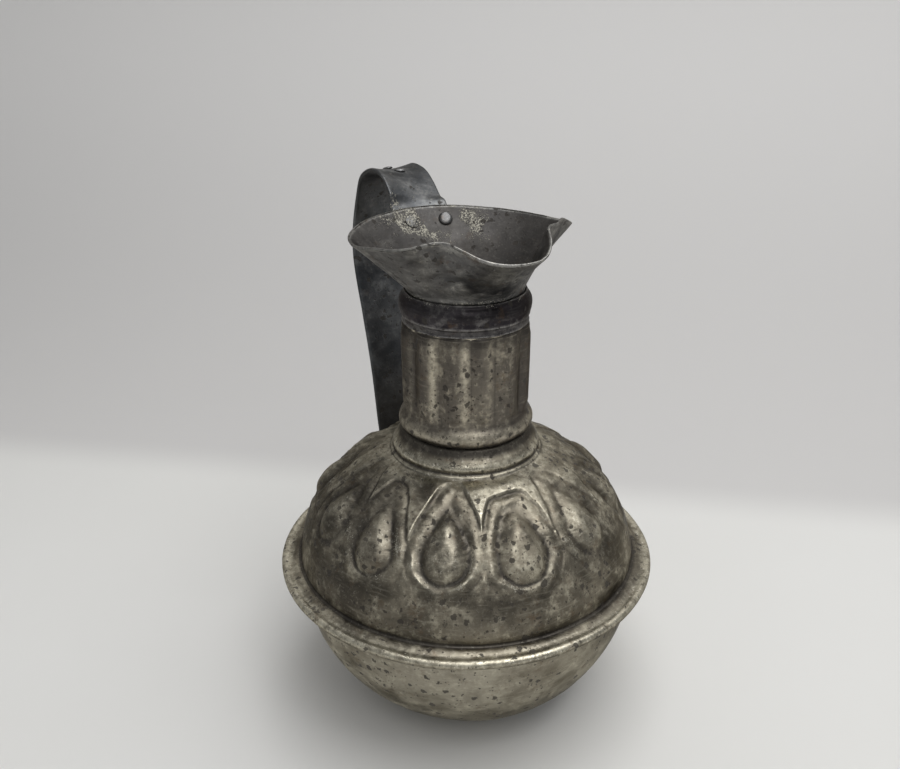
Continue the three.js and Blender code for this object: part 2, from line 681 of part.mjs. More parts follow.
function rivets(prefix, endings, seats, headRadius, headHeight, colour) {
  return seats.map((seat, i) => {
    const geometry = rivetGeometry(seat, headRadius, headHeight);
    const mesh = named(`${prefix}_rivet_${endings[i]}`, geometry, colour, 0.5);
    mesh.position.copy(seat.at);
    mesh.quaternion.copy(turnTo(seat.facing));
    return mesh;
  });
}

const jug = new THREE.Group();
jug.add(
  named("bowl", makeBowl(), 0x8f897c, 0.42),
  named("shoulder", withHoles(makeShoulder(), footSeats), 0x6c6659, 0.5),
  named("neck", makeNeck(), 0x6f695c, 0.48),
  named("neck_band", makeNeckBand(), 0x35333a, 0.45),
  named("mouth", withHoles(makeMouth(), mouthSeats), 0x666560, 0.55),
  named("handle", withHoles(makeStrap(), [...mouthSeats, ...footSeats, ...crestSeats]), 0x44484c, 0.5),
);
jug.add(
  ...rivets("mouth", ["right", "left"], mouthSeats, HEAD_RADIUS, HEAD_HEIGHT, 0x4a4a4c),
  ...rivets("foot", ["right", "left"], footSeats, HEAD_RADIUS, HEAD_HEIGHT, 0x4a4a4c),
  ...rivets("crest", ["front", "rear"], crestSeats, CREST_HEAD_RADIUS, CREST_HEAD_HEIGHT, 0x3c3a3a),
);

export default jug;
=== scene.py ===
# A jug of tinned and tarnished sheet metal: raised bowl, embossed shoulder, fluted neck, pinched
# mouth and strap handle. Each piece is built in millimetres as a fine grid over its real form,
# then dented and worn, and stands for the plain solid of the same name.
import math

import bpy
import numpy as np
from mathutils import Matrix, Vector


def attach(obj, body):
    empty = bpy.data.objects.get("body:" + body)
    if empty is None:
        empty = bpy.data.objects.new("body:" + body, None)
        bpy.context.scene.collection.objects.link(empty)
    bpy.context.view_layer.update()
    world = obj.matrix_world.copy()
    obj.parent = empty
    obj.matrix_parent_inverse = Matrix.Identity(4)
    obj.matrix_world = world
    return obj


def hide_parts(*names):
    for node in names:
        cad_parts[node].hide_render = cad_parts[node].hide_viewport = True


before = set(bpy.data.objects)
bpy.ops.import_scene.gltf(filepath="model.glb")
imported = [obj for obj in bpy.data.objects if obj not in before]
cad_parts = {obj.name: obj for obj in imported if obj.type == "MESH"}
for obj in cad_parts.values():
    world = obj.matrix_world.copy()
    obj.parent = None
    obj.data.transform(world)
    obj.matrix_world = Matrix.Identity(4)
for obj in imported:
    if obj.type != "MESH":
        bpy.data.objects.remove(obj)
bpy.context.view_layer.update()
scene = bpy.context.scene
MM = 0.001

# Sizes in millimetres, the same as the solids'
SHEET = 1.2
NECK_SHEET = 1.5
STRAP_SHEET = 2.2
GAP = 0.3
BOWL_HEIGHT = 78.0
BOWL_RADIUS = 86.0
BASE_RADIUS = 33.0
BOWL_FULLNESS = 2.2
FLANGE_RADIUS = 95.0
HEM_LENGTH = 7.0
DOME_RADIUS = 85.0
DOME_RISE = 63.4
DOME_FOOT = 2.0
COLLAR_RADIUS = 37.4
COLLAR_HEIGHT = 12.3
DROP_BULB = 10.0
DROP_TIP = 25.0
DROP_REACH = 35.5
LOBE_HEIGHT = 1.9
NECK_RADIUS = 29.3
NECK_HEIGHT = 66.0
LOWER_RING_RADIUS = 32.8
LOWER_RING_HEIGHT = 11.5
SOCKET_DEPTH = 16.0
BAND_HEIGHT = 15.0
BAND_RADIUS = 31.2
BAND_CAP = 2.4
WAIST_RISE = 3.8
MOUTH_SLANT = 36.0
THROAT_CURVE = 2.5
STRAP_WIDTH = 30.0

SEAM = BOWL_HEIGHT
FOLD_RADIUS = 1.5 * SHEET + GAP
LIP_SLOT = SHEET / 2 + GAP
SEAT = GAP + STRAP_SHEET / 2


def ease(x, low, high):
    """0 below low, 1 above high and a smooth rise between them."""
    t = np.clip((np.asarray(x, float) - low) / (high - low), 0, 1)
    return t * t * (3 - 2 * t)


def bump(distance, width):
    """1 at no distance, falling away smoothly over this width."""
    return np.exp(-((np.asarray(distance, float) / width) ** 2))


def wrapped(degrees):
    """Degrees brought into -180 to 180."""
    return (np.asarray(degrees, float) + 180) % 360 - 180


def round_trip(columns):
    """Azimuths of this many columns round the axis, as one row."""
    return (np.arange(columns) * 2 * math.pi / columns)[None, :]


def around(radius, height, azimuth):
    """Points in millimetres by radius, height and azimuth, arrays of one shape."""
    radius, height, azimuth = np.broadcast_arrays(radius, height, azimuth)
    return np.stack([radius * np.cos(azimuth), radius * np.sin(azimuth), height], axis=-1)


def along_line(points):
    """How far along a line each of its points lies."""
    return np.concatenate([[0], np.cumsum(np.hypot(*np.diff(points, axis=0).T))])


def waves(points, size, seed, count=36):
    """Smooth random values of about -1 to 1 over points, with lumps of about this size."""
    random = np.random.default_rng(seed)
    direction = random.normal(size=(count, 3))
    direction /= np.linalg.norm(direction, axis=1)[:, None]
    pitch = size * random.uniform(0.7, 1.6, count)
    phase = random.uniform(0, 2 * math.pi, count)
    total = np.zeros(points.shape[:-1])
    for d, p, f in zip(direction, pitch, phase):
        total += np.sin(points @ d * (math.pi / p) + f)
    return total / math.sqrt(count / 2) / 1.6


# The dome's wall, by length up from its foot
turns = np.linspace(0, math.acos(COLLAR_RADIUS / DOME_RADIUS), 2001)
dome_r = DOME_RADIUS * np.cos(turns)
dome_z = SEAM + DOME_FOOT + DOME_RISE * np.sin(turns)
dome_s = along_line(np.stack([dome_r, dome_z], -1))
DOME_LENGTH = float(dome_s[-1])
COLLAR_BASE = float(dome_z[-1])
COLLAR_TOP = COLLAR_BASE + COLLAR_HEIGHT
NECK_TOP = COLLAR_TOP + NECK_HEIGHT
NECK_BORE = NECK_RADIUS - NECK_SHEET
SPIGOT_RADIUS = NECK_BORE - GAP
WAIST = NECK_TOP + WAIST_RISE
RING_TOP = COLLAR_TOP + LOWER_RING_HEIGHT


def on_dome(length, azimuth, offset=0.0):
    """Points on the dome's wall by length up it and azimuth, or this far outside it."""
    share = np.clip(length, 0, DOME_LENGTH)
    r = np.interp(share, dome_s, dome_r)
    z = np.interp(share, dome_s, dome_z)
    dr = np.interp(share, dome_s, np.gradient(dome_r, dome_s))
    dz = np.interp(share, dome_s, np.gradient(dome_z, dome_s))
    return around(r + dz * offset, z - dr * offset, azimuth)


# Mouth: a wide cone that is pinched in on both sides of the lip
PINCHES = [
    # each by its centre, depth and width in degrees
    (29.0, 14.9, 12.4),
    (53.4, 24.7, 24.4),
    (-36.7, 16.2, 16.2),
    (-66.2, 8.6, 31.1),
    (180.0, 8.5, 51.0),
]
MOUTH_LEAN = 51.5
# where the wall is a little shorter: centre in degrees, by how many millimetres, width in degrees
SHORTER = [(71.9, 1.35, 14.1), (-98.0, 2.4, 28.7)]


def lean_at(azimuth):
    """The wall's lean from upright in radians."""
    degrees = np.degrees(azimuth)
    lean = MOUTH_LEAN + 0 * degrees
    for centre, depth, width in PINCHES:
        lean = lean - depth * bump(wrapped(degrees - centre), width)
    return np.radians(lean)


def on_mouth(length, azimuth, offset=0.0):
    """Points on the mouth's wall by length up it and azimuth, or this far outside it."""
    lean = lean_at(azimuth)
    short = sum(by * bump(wrapped(np.degrees(azimuth) - at), width) for at, by, width in SHORTER)
    length = np.asarray(length, float)
    length = length - short * ease(length, THROAT_CURVE, MOUTH_SLANT)
    bend = np.clip((length + THROAT_CURVE) / (2 * THROAT_CURVE), 0, 1)
    in_bend = length < THROAT_CURVE
    slant = np.where(in_bend, THROAT_CURVE * bend**2, length)
    below = np.where(in_bend, THROAT_CURVE * (1 - bend) ** 2, 0)
    radius = SPIGOT_RADIUS + slant * np.sin(lean) + offset * np.cos(lean * bend)
    height = WAIST + slant * np.cos(lean) - below - offset * np.sin(lean * bend)
    return around(radius, height, azimuth)


def placed(name, data):
    """A new object in the scene, with this mesh, light or camera."""
    thing = bpy.data.objects.new(name, data)
    scene.collection.objects.link(thing)
    return thing


# Meshes from grids
def grid_normals(grid, wrap_rows):
    """Unit normals of a grid whose columns wrap round."""
    along = np.roll(grid, -1, 0) - np.roll(grid, 1, 0)
    if not wrap_rows:
        along[0] = grid[1] - grid[0]
        along[-1] = grid[-1] - grid[-2]
    across = np.roll(grid, -1, 1) - np.roll(grid, 1, 1)
    normal = np.cross(across, along)
    size = np.linalg.norm(normal, axis=-1, keepdims=True)
    return normal / np.maximum(size, 1e-9)


def edge_worn(grid, reach, wrap_rows):
    """How far each point stands out from its neighbours about reach steps away, in millimetres."""
    rows, columns = reach
    up, down = np.roll(grid, -rows, 0), np.roll(grid, rows, 0)
    left, right = np.roll(grid, -columns, 1), np.roll(grid, columns, 1)
    if not wrap_rows:
        for ends in (slice(rows), slice(-rows, None)):
            up[ends] = down[ends] = grid[ends]
    mean = (up + down + left + right) / 4
    return np.einsum("ijk,ijk->ij", grid - mean, grid_normals(grid, wrap_rows))


def make_piece(name, grid, slot, material, wrap_rows=True, reach=(2, 2), **marks):
    """A worn piece over a grid of points in millimetres, in place of the solid of its name.

    The first and last rows join where wrap_rows is true, and are closed by fans where it isn't.
    marks are values at the points, for its material.
    """
    rows, columns = grid.shape[:2]
    stand = edge_worn(grid, reach, wrap_rows)
    index = np.arange(rows * columns).reshape(rows, columns)
    lower = index if wrap_rows else index[:-1]
    upper = np.roll(index, -1, 0) if wrap_rows else index[1:]
    corners = [lower, np.roll(lower, -1, 1), np.roll(upper, -1, 1), upper]
    quads = np.stack(corners, axis=-1).reshape(-1, 4)
    points = grid.reshape(-1, 3)
    loops = quads.reshape(-1)
    sizes = np.full(len(quads), 4)
    if not wrap_rows:
        points = np.concatenate([points, [grid[0].mean(0), grid[-1].mean(0)]])
        start, end = index[0], index[-1]
        for a, b, hub in ((np.roll(start, -1), start, len(points) - 2),
                          (end, np.roll(end, -1), len(points) - 1)):
            fan = np.stack([a, b, np.full(columns, hub)], -1)
            loops = np.concatenate([loops, fan.reshape(-1)])
        sizes = np.concatenate([sizes, np.full(2 * columns, 3)])
    a, b, c, d = points[quads.T]
    volume = np.sum(a * np.cross(b, c)) + np.sum(a * np.cross(c, d))
    starts = np.concatenate([[0], np.cumsum(sizes)[:-1]])
    if volume < 0:
        loops = np.concatenate([loops[s : s + n][::-1] for s, n in zip(starts, sizes)])
        stand = -stand
    mesh = bpy.data.meshes.new(name)
    mesh.vertices.add(len(points))
    mesh.vertices.foreach_set("co", (points * MM).astype(np.float32).reshape(-1))
    mesh.loops.add(len(loops))
    mesh.loops.foreach_set("vertex_index", loops.astype(np.int32))
    mesh.polygons.add(len(sizes))
    mesh.polygons.foreach_set("loop_start", starts.astype(np.int32))
    mesh.polygons.foreach_set("use_smooth", np.ones(len(sizes), bool))
    mesh.update(calc_edges=True)
    for layer, values in {"stand": stand, **marks}.items():
        if layer in ("grime", "rub"):
            values = np.clip(values, 0, 1)
        values = np.broadcast_to(values, (rows, columns)).reshape(-1)
        values = np.concatenate([values, np.zeros(len(points) - len(values))])
        attribute = mesh.attributes.new(layer, "FLOAT", "POINT")
        attribute.data.foreach_set("value", values.astype(np.float32))
    piece = placed(name, mesh)
    mesh.materials.append(material)
    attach(piece, "root")
    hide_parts(name.replace("worn_", ""))


# Metal. The colour comes from mottling at several sizes, scratches, rust, dark pits and pale crust,
# and from the wear and grime that each mesh carries for its own high and low places, with the
# painted highlights and painted shade that the meshes carry in the same layers.
class Nodes:
    """A new material, with shorthand for adding and linking its nodes."""

    def __init__(self, name):
        self.material = bpy.data.materials.new(name)
        self.material.use_nodes = True
        self.tree = self.material.node_tree
        self.tree.nodes.clear()
        self.place = self.add("TexCoord").outputs["Object"]

    def add(self, kind, inputs=None, **values):
        node = self.tree.nodes.new("ShaderNode" + kind)
        for name, value in values.items():
            setattr(node, name, value)
        for name, value in (inputs or {}).items():
            self.put(node.inputs[name], value)
        return node

    def put(self, socket, value):
        if isinstance(value, bpy.types.NodeSocket):
            self.tree.links.new(value, socket)
        else:
            socket.default_value = value

    def math(self, operation, a, b=0.0, clamp=False):
        return self.add("Math", {0: a, 1: b}, operation=operation, use_clamp=clamp).outputs[0]

    def times(self, a, b, clamp=False):
        return self.math("MULTIPLY", a, b, clamp)

    def plus(self, a, b, clamp=False):
        return self.math("ADD", a, b, clamp)

    def noise(self, where, scale, detail=3.0, roughness=0.55, distortion=0.0):
        return self.add("TexNoise", {
            "Vector": where, "Scale": scale, "Detail": detail,
            "Roughness": roughness, "Distortion": distortion,
        }).outputs["Fac"]

    def ramp(self, value, low, high, to_low=0.0, to_high=1.0):
        return self.add("MapRange", {
            "Value": value, "From Min": low, "From Max": high, "To Min": to_low, "To Max": to_high,
        }, interpolation_type="SMOOTHSTEP").outputs["Result"]

    def mix(self, share, a, b):
        inputs = {"Factor": share, "A": a, "B": b}
        return self.add("Mix", inputs, data_type="RGBA").outputs["Result"]

    def layer(self, name):
        """One of the values that the mesh carries at its points, or 0 where it has none."""
        return self.add("Attribute", attribute_name=name).outputs["Fac"]

    def specks(self, where, scale, share, seed):
        """Ragged round specks of mixed sizes; share is the part of the cells that hold one."""
        place = (seed, seed * 0.7, -seed)
        shifted = self.add("Mapping", {"Vector": where, "Location": place}).outputs[0]
        ragged = self.add("TexNoise", {"Vector": shifted, "Scale": scale * 1.8})
        pushed = self.add("VectorMath", {
            0: ragged.outputs["Color"], 1: (0.9 / scale,) * 3, 2: shifted,
        }, operation="MULTIPLY_ADD")
        cells = self.add("TexVoronoi", {"Vector": pushed.outputs[0], "Scale": scale})
        random = self.add("SeparateColor", {"Color": cells.outputs["Color"]})
        reach = self.plus(self.times(random.outputs["Green"], 0.3), 0.14)
        speck = self.ramp(self.math("SUBTRACT", reach, cells.outputs["Distance"]), 0.0, 0.09)
        held = self.math("LESS_THAN", random.outputs["Red"], share)
        return self.times(speck, held)

    def surface(self, inputs):
        """The material, with these inputs on its shader."""
        shader = self.add("BsdfPrincipled", inputs)
        self.add("OutputMaterial", {"Surface": shader.outputs["BSDF"]})
        return self.material


TIN_PALE = (0.68, 0.635, 0.505, 1)
SILVER = (0.89, 0.85, 0.73, 1)
PATINA = (0.175, 0.155, 0.118, 1)
TARNISH_AND_SHADE = (0.055, 0.05, 0.046, 1)
PIT = (0.04, 0.035, 0.03, 1)
RUST = (0.13, 0.085, 0.05, 1)
CRUST = (0.58, 0.555, 0.475, 1)
EDGE_TINT = (0.4, 0.39, 0.37, 1)


def metal(name, pale, middle, dark, darkness=0.5, blots=1.0, rough=(0.28, 0.55),
          streak=(1, 1, 1), speckle=1.0, rust_share=0.4, scratches=0.3):
    """Old metal in three tones.

    darkness is the share of the dark tone, blots that of the pits, and speckle that of the bright
    flecks. streak stretches the mottling along Z.
    """
    n = Nodes(name)
    place = n.place
    stretch = n.add("Mapping", {"Vector": place, "Scale": streak}).outputs[0]
    broad = n.noise(stretch, 22.0, 4.0, 0.6, 0.3)
    middle_size = n.noise(stretch, 75.0, 5.0, 0.62, 0.4)
    small = n.noise(place, 330.0, 5.0, 0.65)
    fine = n.noise(place, 1500.0, 3.0, 0.6)
    flecks = n.noise(place, 820.0, 3.0, 0.7, 0.5)

    # Lighter on high places and where the mesh's rub layer is, which holds painted highlights as
    # well as wear, and the bright flecks gather there too; darker in hollows and where its grime
    # layer is, which holds painted shade as well as grime.
    stand = n.layer("stand")
    worn = n.math("MAXIMUM", n.ramp(stand, 0.03, 0.3), n.layer("rub"))
    low = n.ramp(n.times(stand, -1.0), 0.02, 0.2)
    grime = n.plus(n.times(low, 0.7), n.layer("grime"), clamp=True)
    pale_mark = n.layer("pale")

    blend = n.plus(n.times(broad, 0.5), n.times(middle_size, 0.5))
    darker = 0.2 * (darkness - 0.5)
    tone = n.ramp(blend, 0.36 + darker, 0.62 + darker)
    colour = n.mix(tone, dark, middle)
    mottle = n.plus(n.times(middle_size, 0.5), n.times(small, 0.5))
    colour = n.mix(n.times(n.ramp(mottle, 0.5, 0.66), 0.5), colour, pale)
    # scratches run level round the jug
    drawn = n.add("Mapping", {"Vector": place, "Scale": (0.1, 0.1, 1)}).outputs[0]
    scratch = n.times(n.ramp(n.noise(drawn, 640.0, 4.0, 0.7), 0.52, 0.66), scratches)
    colour = n.mix(n.times(scratch, 0.35), colour, pale)
    rubbed = n.times(worn, n.ramp(small, 0.34, 0.58, 0.25, 1.0), clamp=True)
    colour = n.mix(n.times(rubbed, 0.8), colour, pale)
    rust = n.times(n.ramp(n.noise(place, 140.0, 4.0, 0.7), 0.56, 0.72), rust_share)
    colour = n.mix(rust, colour, RUST)
    # The tarnish colour also paints the shade that the grime layer holds.
    rough_grime = n.times(grime, n.ramp(n.plus(small, grime), 0.35, 0.95), clamp=True)
    colour = n.mix(n.times(rough_grime, 0.8), colour, TARNISH_AND_SHADE)
    dust = n.plus(n.noise(place, 1150.0, 4.0, 0.8, 0.3), n.times(pale_mark, 0.15))
    crust = n.times(n.ramp(dust, 0.62, 0.68), n.ramp(pale_mark, 0.02, 0.3), clamp=True)
    colour = n.mix(crust, colour, CRUST)
    sparkle = n.times(n.ramp(flecks, 0.57, 0.68), n.plus(n.times(rubbed, 0.9), 0.1))
    sparkle = n.times(sparkle, speckle, clamp=True)
    colour = n.mix(sparkle, colour, SILVER)

    clustered = n.ramp(n.noise(place, 34.0, 3.0, 0.6), 0.38, 0.6, 0.12, 0.85)
    big = n.specks(place, 250.0, n.times(clustered, blots), 3.1)
    tiny = n.specks(place, 720.0, n.times(clustered, 0.5 * blots), 7.7)
    pits = n.math("MAXIMUM", big, n.times(tiny, 0.8))
    colour = n.mix(n.times(pits, 0.8), colour, PIT)

    roughness = n.plus(n.ramp(middle_size, 0.35, 0.65, *rough),
                       n.times(n.plus(pits, rough_grime), 0.16))
    roughness = n.math("SUBTRACT", roughness, n.times(n.plus(rubbed, sparkle), 0.08))
    roughness = n.plus(roughness, n.times(crust, 0.35), clamp=True)
    metallic = n.math("SUBTRACT", 0.9, n.times(n.math("MAXIMUM", crust, pits), 0.6))

    # relief finer than the mesh, in metres
    height = n.times(middle_size, 0.00036)
    for part, rise in ((small, 0.00013), (fine, 0.000018), (n.times(flecks, worn), 0.0001),
                       (pits, -0.00012), (crust, 0.00018), (scratch, -0.00007)):
        height = n.plus(height, n.times(part, rise))
    bumped = n.add("Bump", {"Height": height, "Strength": 0.85, "Distance": 1.0})

    return n.surface({
        "Base Color": colour, "Metallic": metallic, "Roughness": roughness,
        "Specular Tint": EDGE_TINT, "Normal": bumped.outputs["Normal"],
    })


# each with its pale, middle and dark tones
tin_bowl = metal("tin_bowl", TIN_PALE, (0.4, 0.37, 0.3, 1), PATINA,
                 darkness=0.4, blots=0.9, speckle=0.6, scratches=0.45)
tin_shoulder = metal("tin_shoulder", TIN_PALE, (0.265, 0.237, 0.183, 1), (0.086, 0.076, 0.06, 1),
                     darkness=0.57, scratches=0.4)
tin_neck = metal("tin_neck", (0.66, 0.6, 0.47, 1), (0.205, 0.183, 0.15, 1), (0.08, 0.071, 0.063, 1),
                 darkness=0.53, streak=(1, 1, 0.35), speckle=0.4)
band_metal = metal("band_metal", (0.3, 0.29, 0.28, 1), (0.062, 0.057, 0.063, 1),
                   (0.026, 0.023, 0.027, 1),
                   darkness=0.6, blots=0.5, rough=(0.3, 0.45), speckle=0.15)
mouth_metal = metal("mouth_metal", (0.4, 0.39, 0.365, 1), (0.175, 0.17, 0.165, 1),
                    (0.075, 0.076, 0.08, 1),
                    darkness=0.42, rough=(0.36, 0.56), speckle=0.5, blots=0.7)
strap_metal = metal("strap_metal", (0.26, 0.26, 0.255, 1), (0.13, 0.133, 0.136, 1),
                    (0.066, 0.07, 0.076, 1),
                    darkness=0.5, blots=0.6, rough=(0.36, 0.52), speckle=0.3, rust_share=0.15)
rivet_metal = metal("rivet_metal", (0.42, 0.42, 0.42, 1), (0.17, 0.17, 0.17, 1),
                    (0.06, 0.06, 0.062, 1),
                    darkness=0.4, blots=0.5, rough=(0.28, 0.45), speckle=0.4)


# Bowl. It was beaten a little off centre under its seam. It is painted darker just under the
# flange, towards its bottom and on one side, painted shade that also dulls its reflection of the
# floor.
BOWL_SHIFT = (0.462, 1.001)
BOWL_SHADE_AT = 38


def bowl_profile(inset):
    """Radius and height of the bowl's wall from its lip down, this far inside its outer face."""
    radius = BOWL_RADIUS - inset
    height = BOWL_HEIGHT - inset
    base = BASE_RADIUS - inset
    depth = height / (1 - (base / radius) ** BOWL_FULLNESS) ** (1 / BOWL_FULLNESS)
    end = math.asin((height / depth) ** (BOWL_FULLNESS / 2))
    turn = np.linspace(0, end, 400)
    r = radius * np.cos(turn) ** (2 / BOWL_FULLNESS)
    z = SEAM - depth * np.sin(turn) ** (2 / BOWL_FULLNESS)
    return np.stack([r, z], -1)


def spaced(points, pitch):
    """A profile's points at an even pitch along it, with its corners a little rounded."""
    points = np.asarray(points, float)
    s = along_line(points)
    count = max(2, int(round(s[-1] / pitch)) + 1)
    at = np.linspace(0, s[-1], count)
    even = np.stack([np.interp(at, s, points[:, 0]), np.interp(at, s, points[:, 1])], -1)
    even[1:-1] = (even[:-2] + 2 * even[1:-1] + even[2:]) / 4
    return even


def beside(radius, height, steps):
    """A profile's points by their steps out and up from one place."""
    return np.array(steps) + (radius, height)


def spun(profile, columns):
    """Grid of a profile of (radius, height), turned round the axis."""
    profile = np.asarray(profile, float)
    return around(profile[:, :1], profile[:, 1:], round_trip(columns))


def dented(grid, amounts, seed, keep=1.0):
    """The grid with smooth dents and hammer marks, by (lump size, height) in millimetres."""
    shift = sum(height * waves(grid, size, seed + i) for i, (size, height) in enumerate(amounts))
    return grid + grid_normals(grid, False) * (shift * keep)[..., None]


def make_bowl():
    lip = FLANGE_RADIUS - FOLD_RADIUS - GAP
    outer = spaced(bowl_profile(0)[::-1][:-4], 0.9)
    inner = spaced(bowl_profile(SHEET)[4:], 1.4)
    floor = spaced([(1.0, 0.0), (BASE_RADIUS, 0.0)], 1.5)[:-1]
    low, high = SEAM - SHEET / 2, SEAM + SHEET / 2
    shelf = [(BOWL_RADIUS + 0.5, low), (lip, low), (lip, high), (BOWL_RADIUS - SHEET + 0.5, high)]
    inside_floor = spaced([(BASE_RADIUS - SHEET, SHEET), (1.0, SHEET)], 3.0)[1:]
    profile = np.concatenate([floor, outer, shelf, inner, inside_floor])
    grid = spun(profile, 420)
    height = grid[..., 2]
    free = ease(height, 0.5, 14) * ease(SEAM - 1 - height, 0, 10)
    grid[..., :2] += free[..., None] * BOWL_SHIFT
    grid = dented(grid, [(34, 0.35), (11, 0.1), (5, 0.035)], 11, free)
    turned = np.degrees(np.arctan2(grid[..., 1], grid[..., 0]))
    # painted shade: under the flange, towards the bottom, and on one side against the floor's
    # reflection
    grime = ease(height, 66, 76) * 0.25 + 0.35 * ease(-height, -45, -5)
    cloud = ease(waves(grid, 30, 15), -1.2, 0.5)
    grime += 0.85 * bump(wrapped(turned - BOWL_SHADE_AT), 34) * cloud
    make_piece("worn_bowl", grid, "tinned_bowl", tin_bowl, wrap_rows=False, reach=(3, 3),
               grime=grime)


make_bowl()


# Shoulder. Twelve drops raised by hand, so each is a little off in place, size and turn. These are
# their azimuths in degrees, sizes, millimetres above the usual height, and turns in radians.
DROP_AT = [-5.0, 26.4, 57.0, 86.2, 117.1, 146.4, 177.0, 206.0, 236.9, 272.0, -62.2, -33.6]
DROP_SIZE = [1.12, 1.0, 0.97, 1.03, 0.98, 1.02, 1.0, 0.97, 1.03, 0.98, 1.0, 1.0]
DROP_RAISED = [2.2, 2.4, 1.6, 1.0, 0.6, 1.5, 1.0, 1.3, 0.7, 1.6, 0.0, 3.2]
DROP_TURN = [-0.04, 0.03, 0.0, -0.05, 0.03, 0.0, 0.04, -0.03, 0.02, 0.05, 0.12, 0.0]
# how far past its tip each is cut off blunt in millimetres, and how clearly it was raised
DROP_TOP = [-3.0, 4.0, 8.0, 8.0, 7.0, 8.0, 8.0, 7.0, 8.0, 6.0, 3.0, 7.0]
DROP_CLEAR = [1.0, 0.5, 0.45, 0.7, 0.8, 0.8, 0.8, 0.8, 0.7, 0.6, 0.85, 1.0]
# the drop itself, the groove round it, the ring round that, and where two rings meet, the valley
# between them and the wedge above it
BOSS_HEIGHT = 2.8
BOSS_EDGE = 6.5
GROOVE_DEPTH = 0.75
GROOVE_WIDTH = 2.0
RIDGE_HEIGHT = 0.75
RIDGE_WIDTH = 2.6
VALLEY_DEPTH = 0.2
VALLEY_MIDDLE = 7.3
WEDGE_START = 8.0
WEDGE_HEIGHT = 1.3
# azimuths of the places that are darker
FLANGE_DARKER_AT = 40
DOME_DARKER_AT = -92


def drop_level(across, along, size, past_tip):
    """Distance outward from a drop's outline: a round bulb that runs up to a blunt point."""
    radius = DROP_BULB * size
    lean = DROP_BULB / DROP_TIP
    side = math.sqrt(1 - lean * lean)
    x = np.sqrt(across**2 + 1.8**2) - 0.7
    bulb = np.hypot(across, along) - radius
    level = np.where(side * along < lean * x, bulb, side * x + lean * along - radius)
    top = along - DROP_TIP - past_tip
    return np.logaddexp(level * 0.6, top * 0.6) / 0.6


def relief(length, azimuth):
    """Height of the embossing over the plain dome, and its parts as shares of their full height."""
    radius = np.interp(length, dome_s, dome_r)
    degrees = np.degrees(azimuth)
    levels = []
    for at, size, raised, turn, past in zip(DROP_AT, DROP_SIZE, DROP_RAISED, DROP_TURN, DROP_TOP):
        across = np.radians(wrapped(degrees - at)) * radius
        along = length - DROP_REACH - raised
        levels.append(drop_level(across + turn * along, along, size, past))
    clear = np.interp(degrees, DROP_AT, DROP_CLEAR, period=360)
    plain = on_dome(length, azimuth)
    level = np.min(levels, axis=0)
    level = level + 0.7 * ease(level, 0, 4) * waves(plain, 12, 25) + 0.3 * waves(plain, 5, 26)
    along = length - DROP_REACH
    upper = ease(along, -13, -3)
    middle = 2.7 + 1.8 * upper
    uneven = 1 + 0.6 * waves(plain, 7, 27)
    boss = ease(-level, -0.8, BOSS_EDGE)
    groove = bump(level - 0.3 * middle, GROOVE_WIDTH)
    # the ring is strongest at the sides of the bulb and low and broad round its bottom
    ridge = bump(level - middle, RIDGE_WIDTH) * (0.35 + 0.65 * upper) * uneven
    ridge = ridge * (1 - 0.6 * ease(along, 5, 16))
    above = ease(along, 0, 8)
    valley = bump(level - VALLEY_MIDDLE, 0.9) * above
    # two neighbouring rings meet in one line beside the bulbs, and it opens into a wedge above
    wedge = ease(level, WEDGE_START, WEDGE_START + 1.5) * ease(along, -16, 0)
    wedge = wedge * (0.45 + 0.55 * above)
    fade = ease(DOME_LENGTH - length, 0.5, 7)
    rings = (RIDGE_HEIGHT * ridge - GROOVE_DEPTH * groove - VALLEY_DEPTH * valley
             + WEDGE_HEIGHT * wedge)
    height = BOSS_HEIGHT * (0.4 + 0.6 * clear) * boss + clear * rings
    shown = fade * clear
    return height * fade, level, groove * shown, ridge * shown, valley * shown, wedge * shown


def fold_profile():
    """Radius and height round the seam: the hem, the fold and the flange's top."""
    edge = FLANGE_RADIUS - FOLD_RADIUS
    hem_end = edge - HEM_LENGTH + GAP
    turn = np.radians(np.linspace(-90, 90, 15))
    return np.concatenate([
        beside(edge, SEAM, [(GAP / 2, LIP_SLOT), (GAP / 2, -LIP_SLOT),
                            (hem_end - edge, -LIP_SLOT)]),
        spaced([(hem_end, SEAM - FOLD_RADIUS), (edge, SEAM - FOLD_RADIUS)], 0.9)[:-1],
        beside(edge, SEAM, FOLD_RADIUS * np.stack([np.cos(turn), np.sin(turn)], -1)),
        spaced(beside(edge, SEAM + FOLD_RADIUS, [
            (-0.5, -0.05), (-1.7, -0.35), (-3.0, -0.1), (-4.3, 0.5), (-5.6, 0.8), (-6.9, 0.7),
        ]), 0.5),
    ])


def collar_profile():
    """Radius and height up the collar and over the spigot, then down inside them."""
    shelf = COLLAR_RADIUS - 6.2
    outside = np.concatenate([
        beside(COLLAR_RADIUS, COLLAR_BASE, [
            (-0.1, 0.1), (-0.2, 0.9), (-1.3, 1.2), (-1.7, 2.0), (-1.3, 3.2), (-1.5, 4.8),
            (-2.9, 6.9), (-5.0, 9.0),
        ]),
        [(shelf, COLLAR_TOP - 0.9)],
        beside(SPIGOT_RADIUS, COLLAR_TOP, [(2.4, -0.1), (0.6, 0), (0, 0.8), (0, SOCKET_DEPTH)]),
    ])
    inside = beside(SPIGOT_RADIUS, COLLAR_TOP, [
        (-SHEET, SOCKET_DEPTH), (-SHEET, -SHEET), (1.6, -SHEET), (shelf - SPIGOT_RADIUS, -3.4),
    ])
    return np.concatenate([spaced(outside, 0.5), inside])


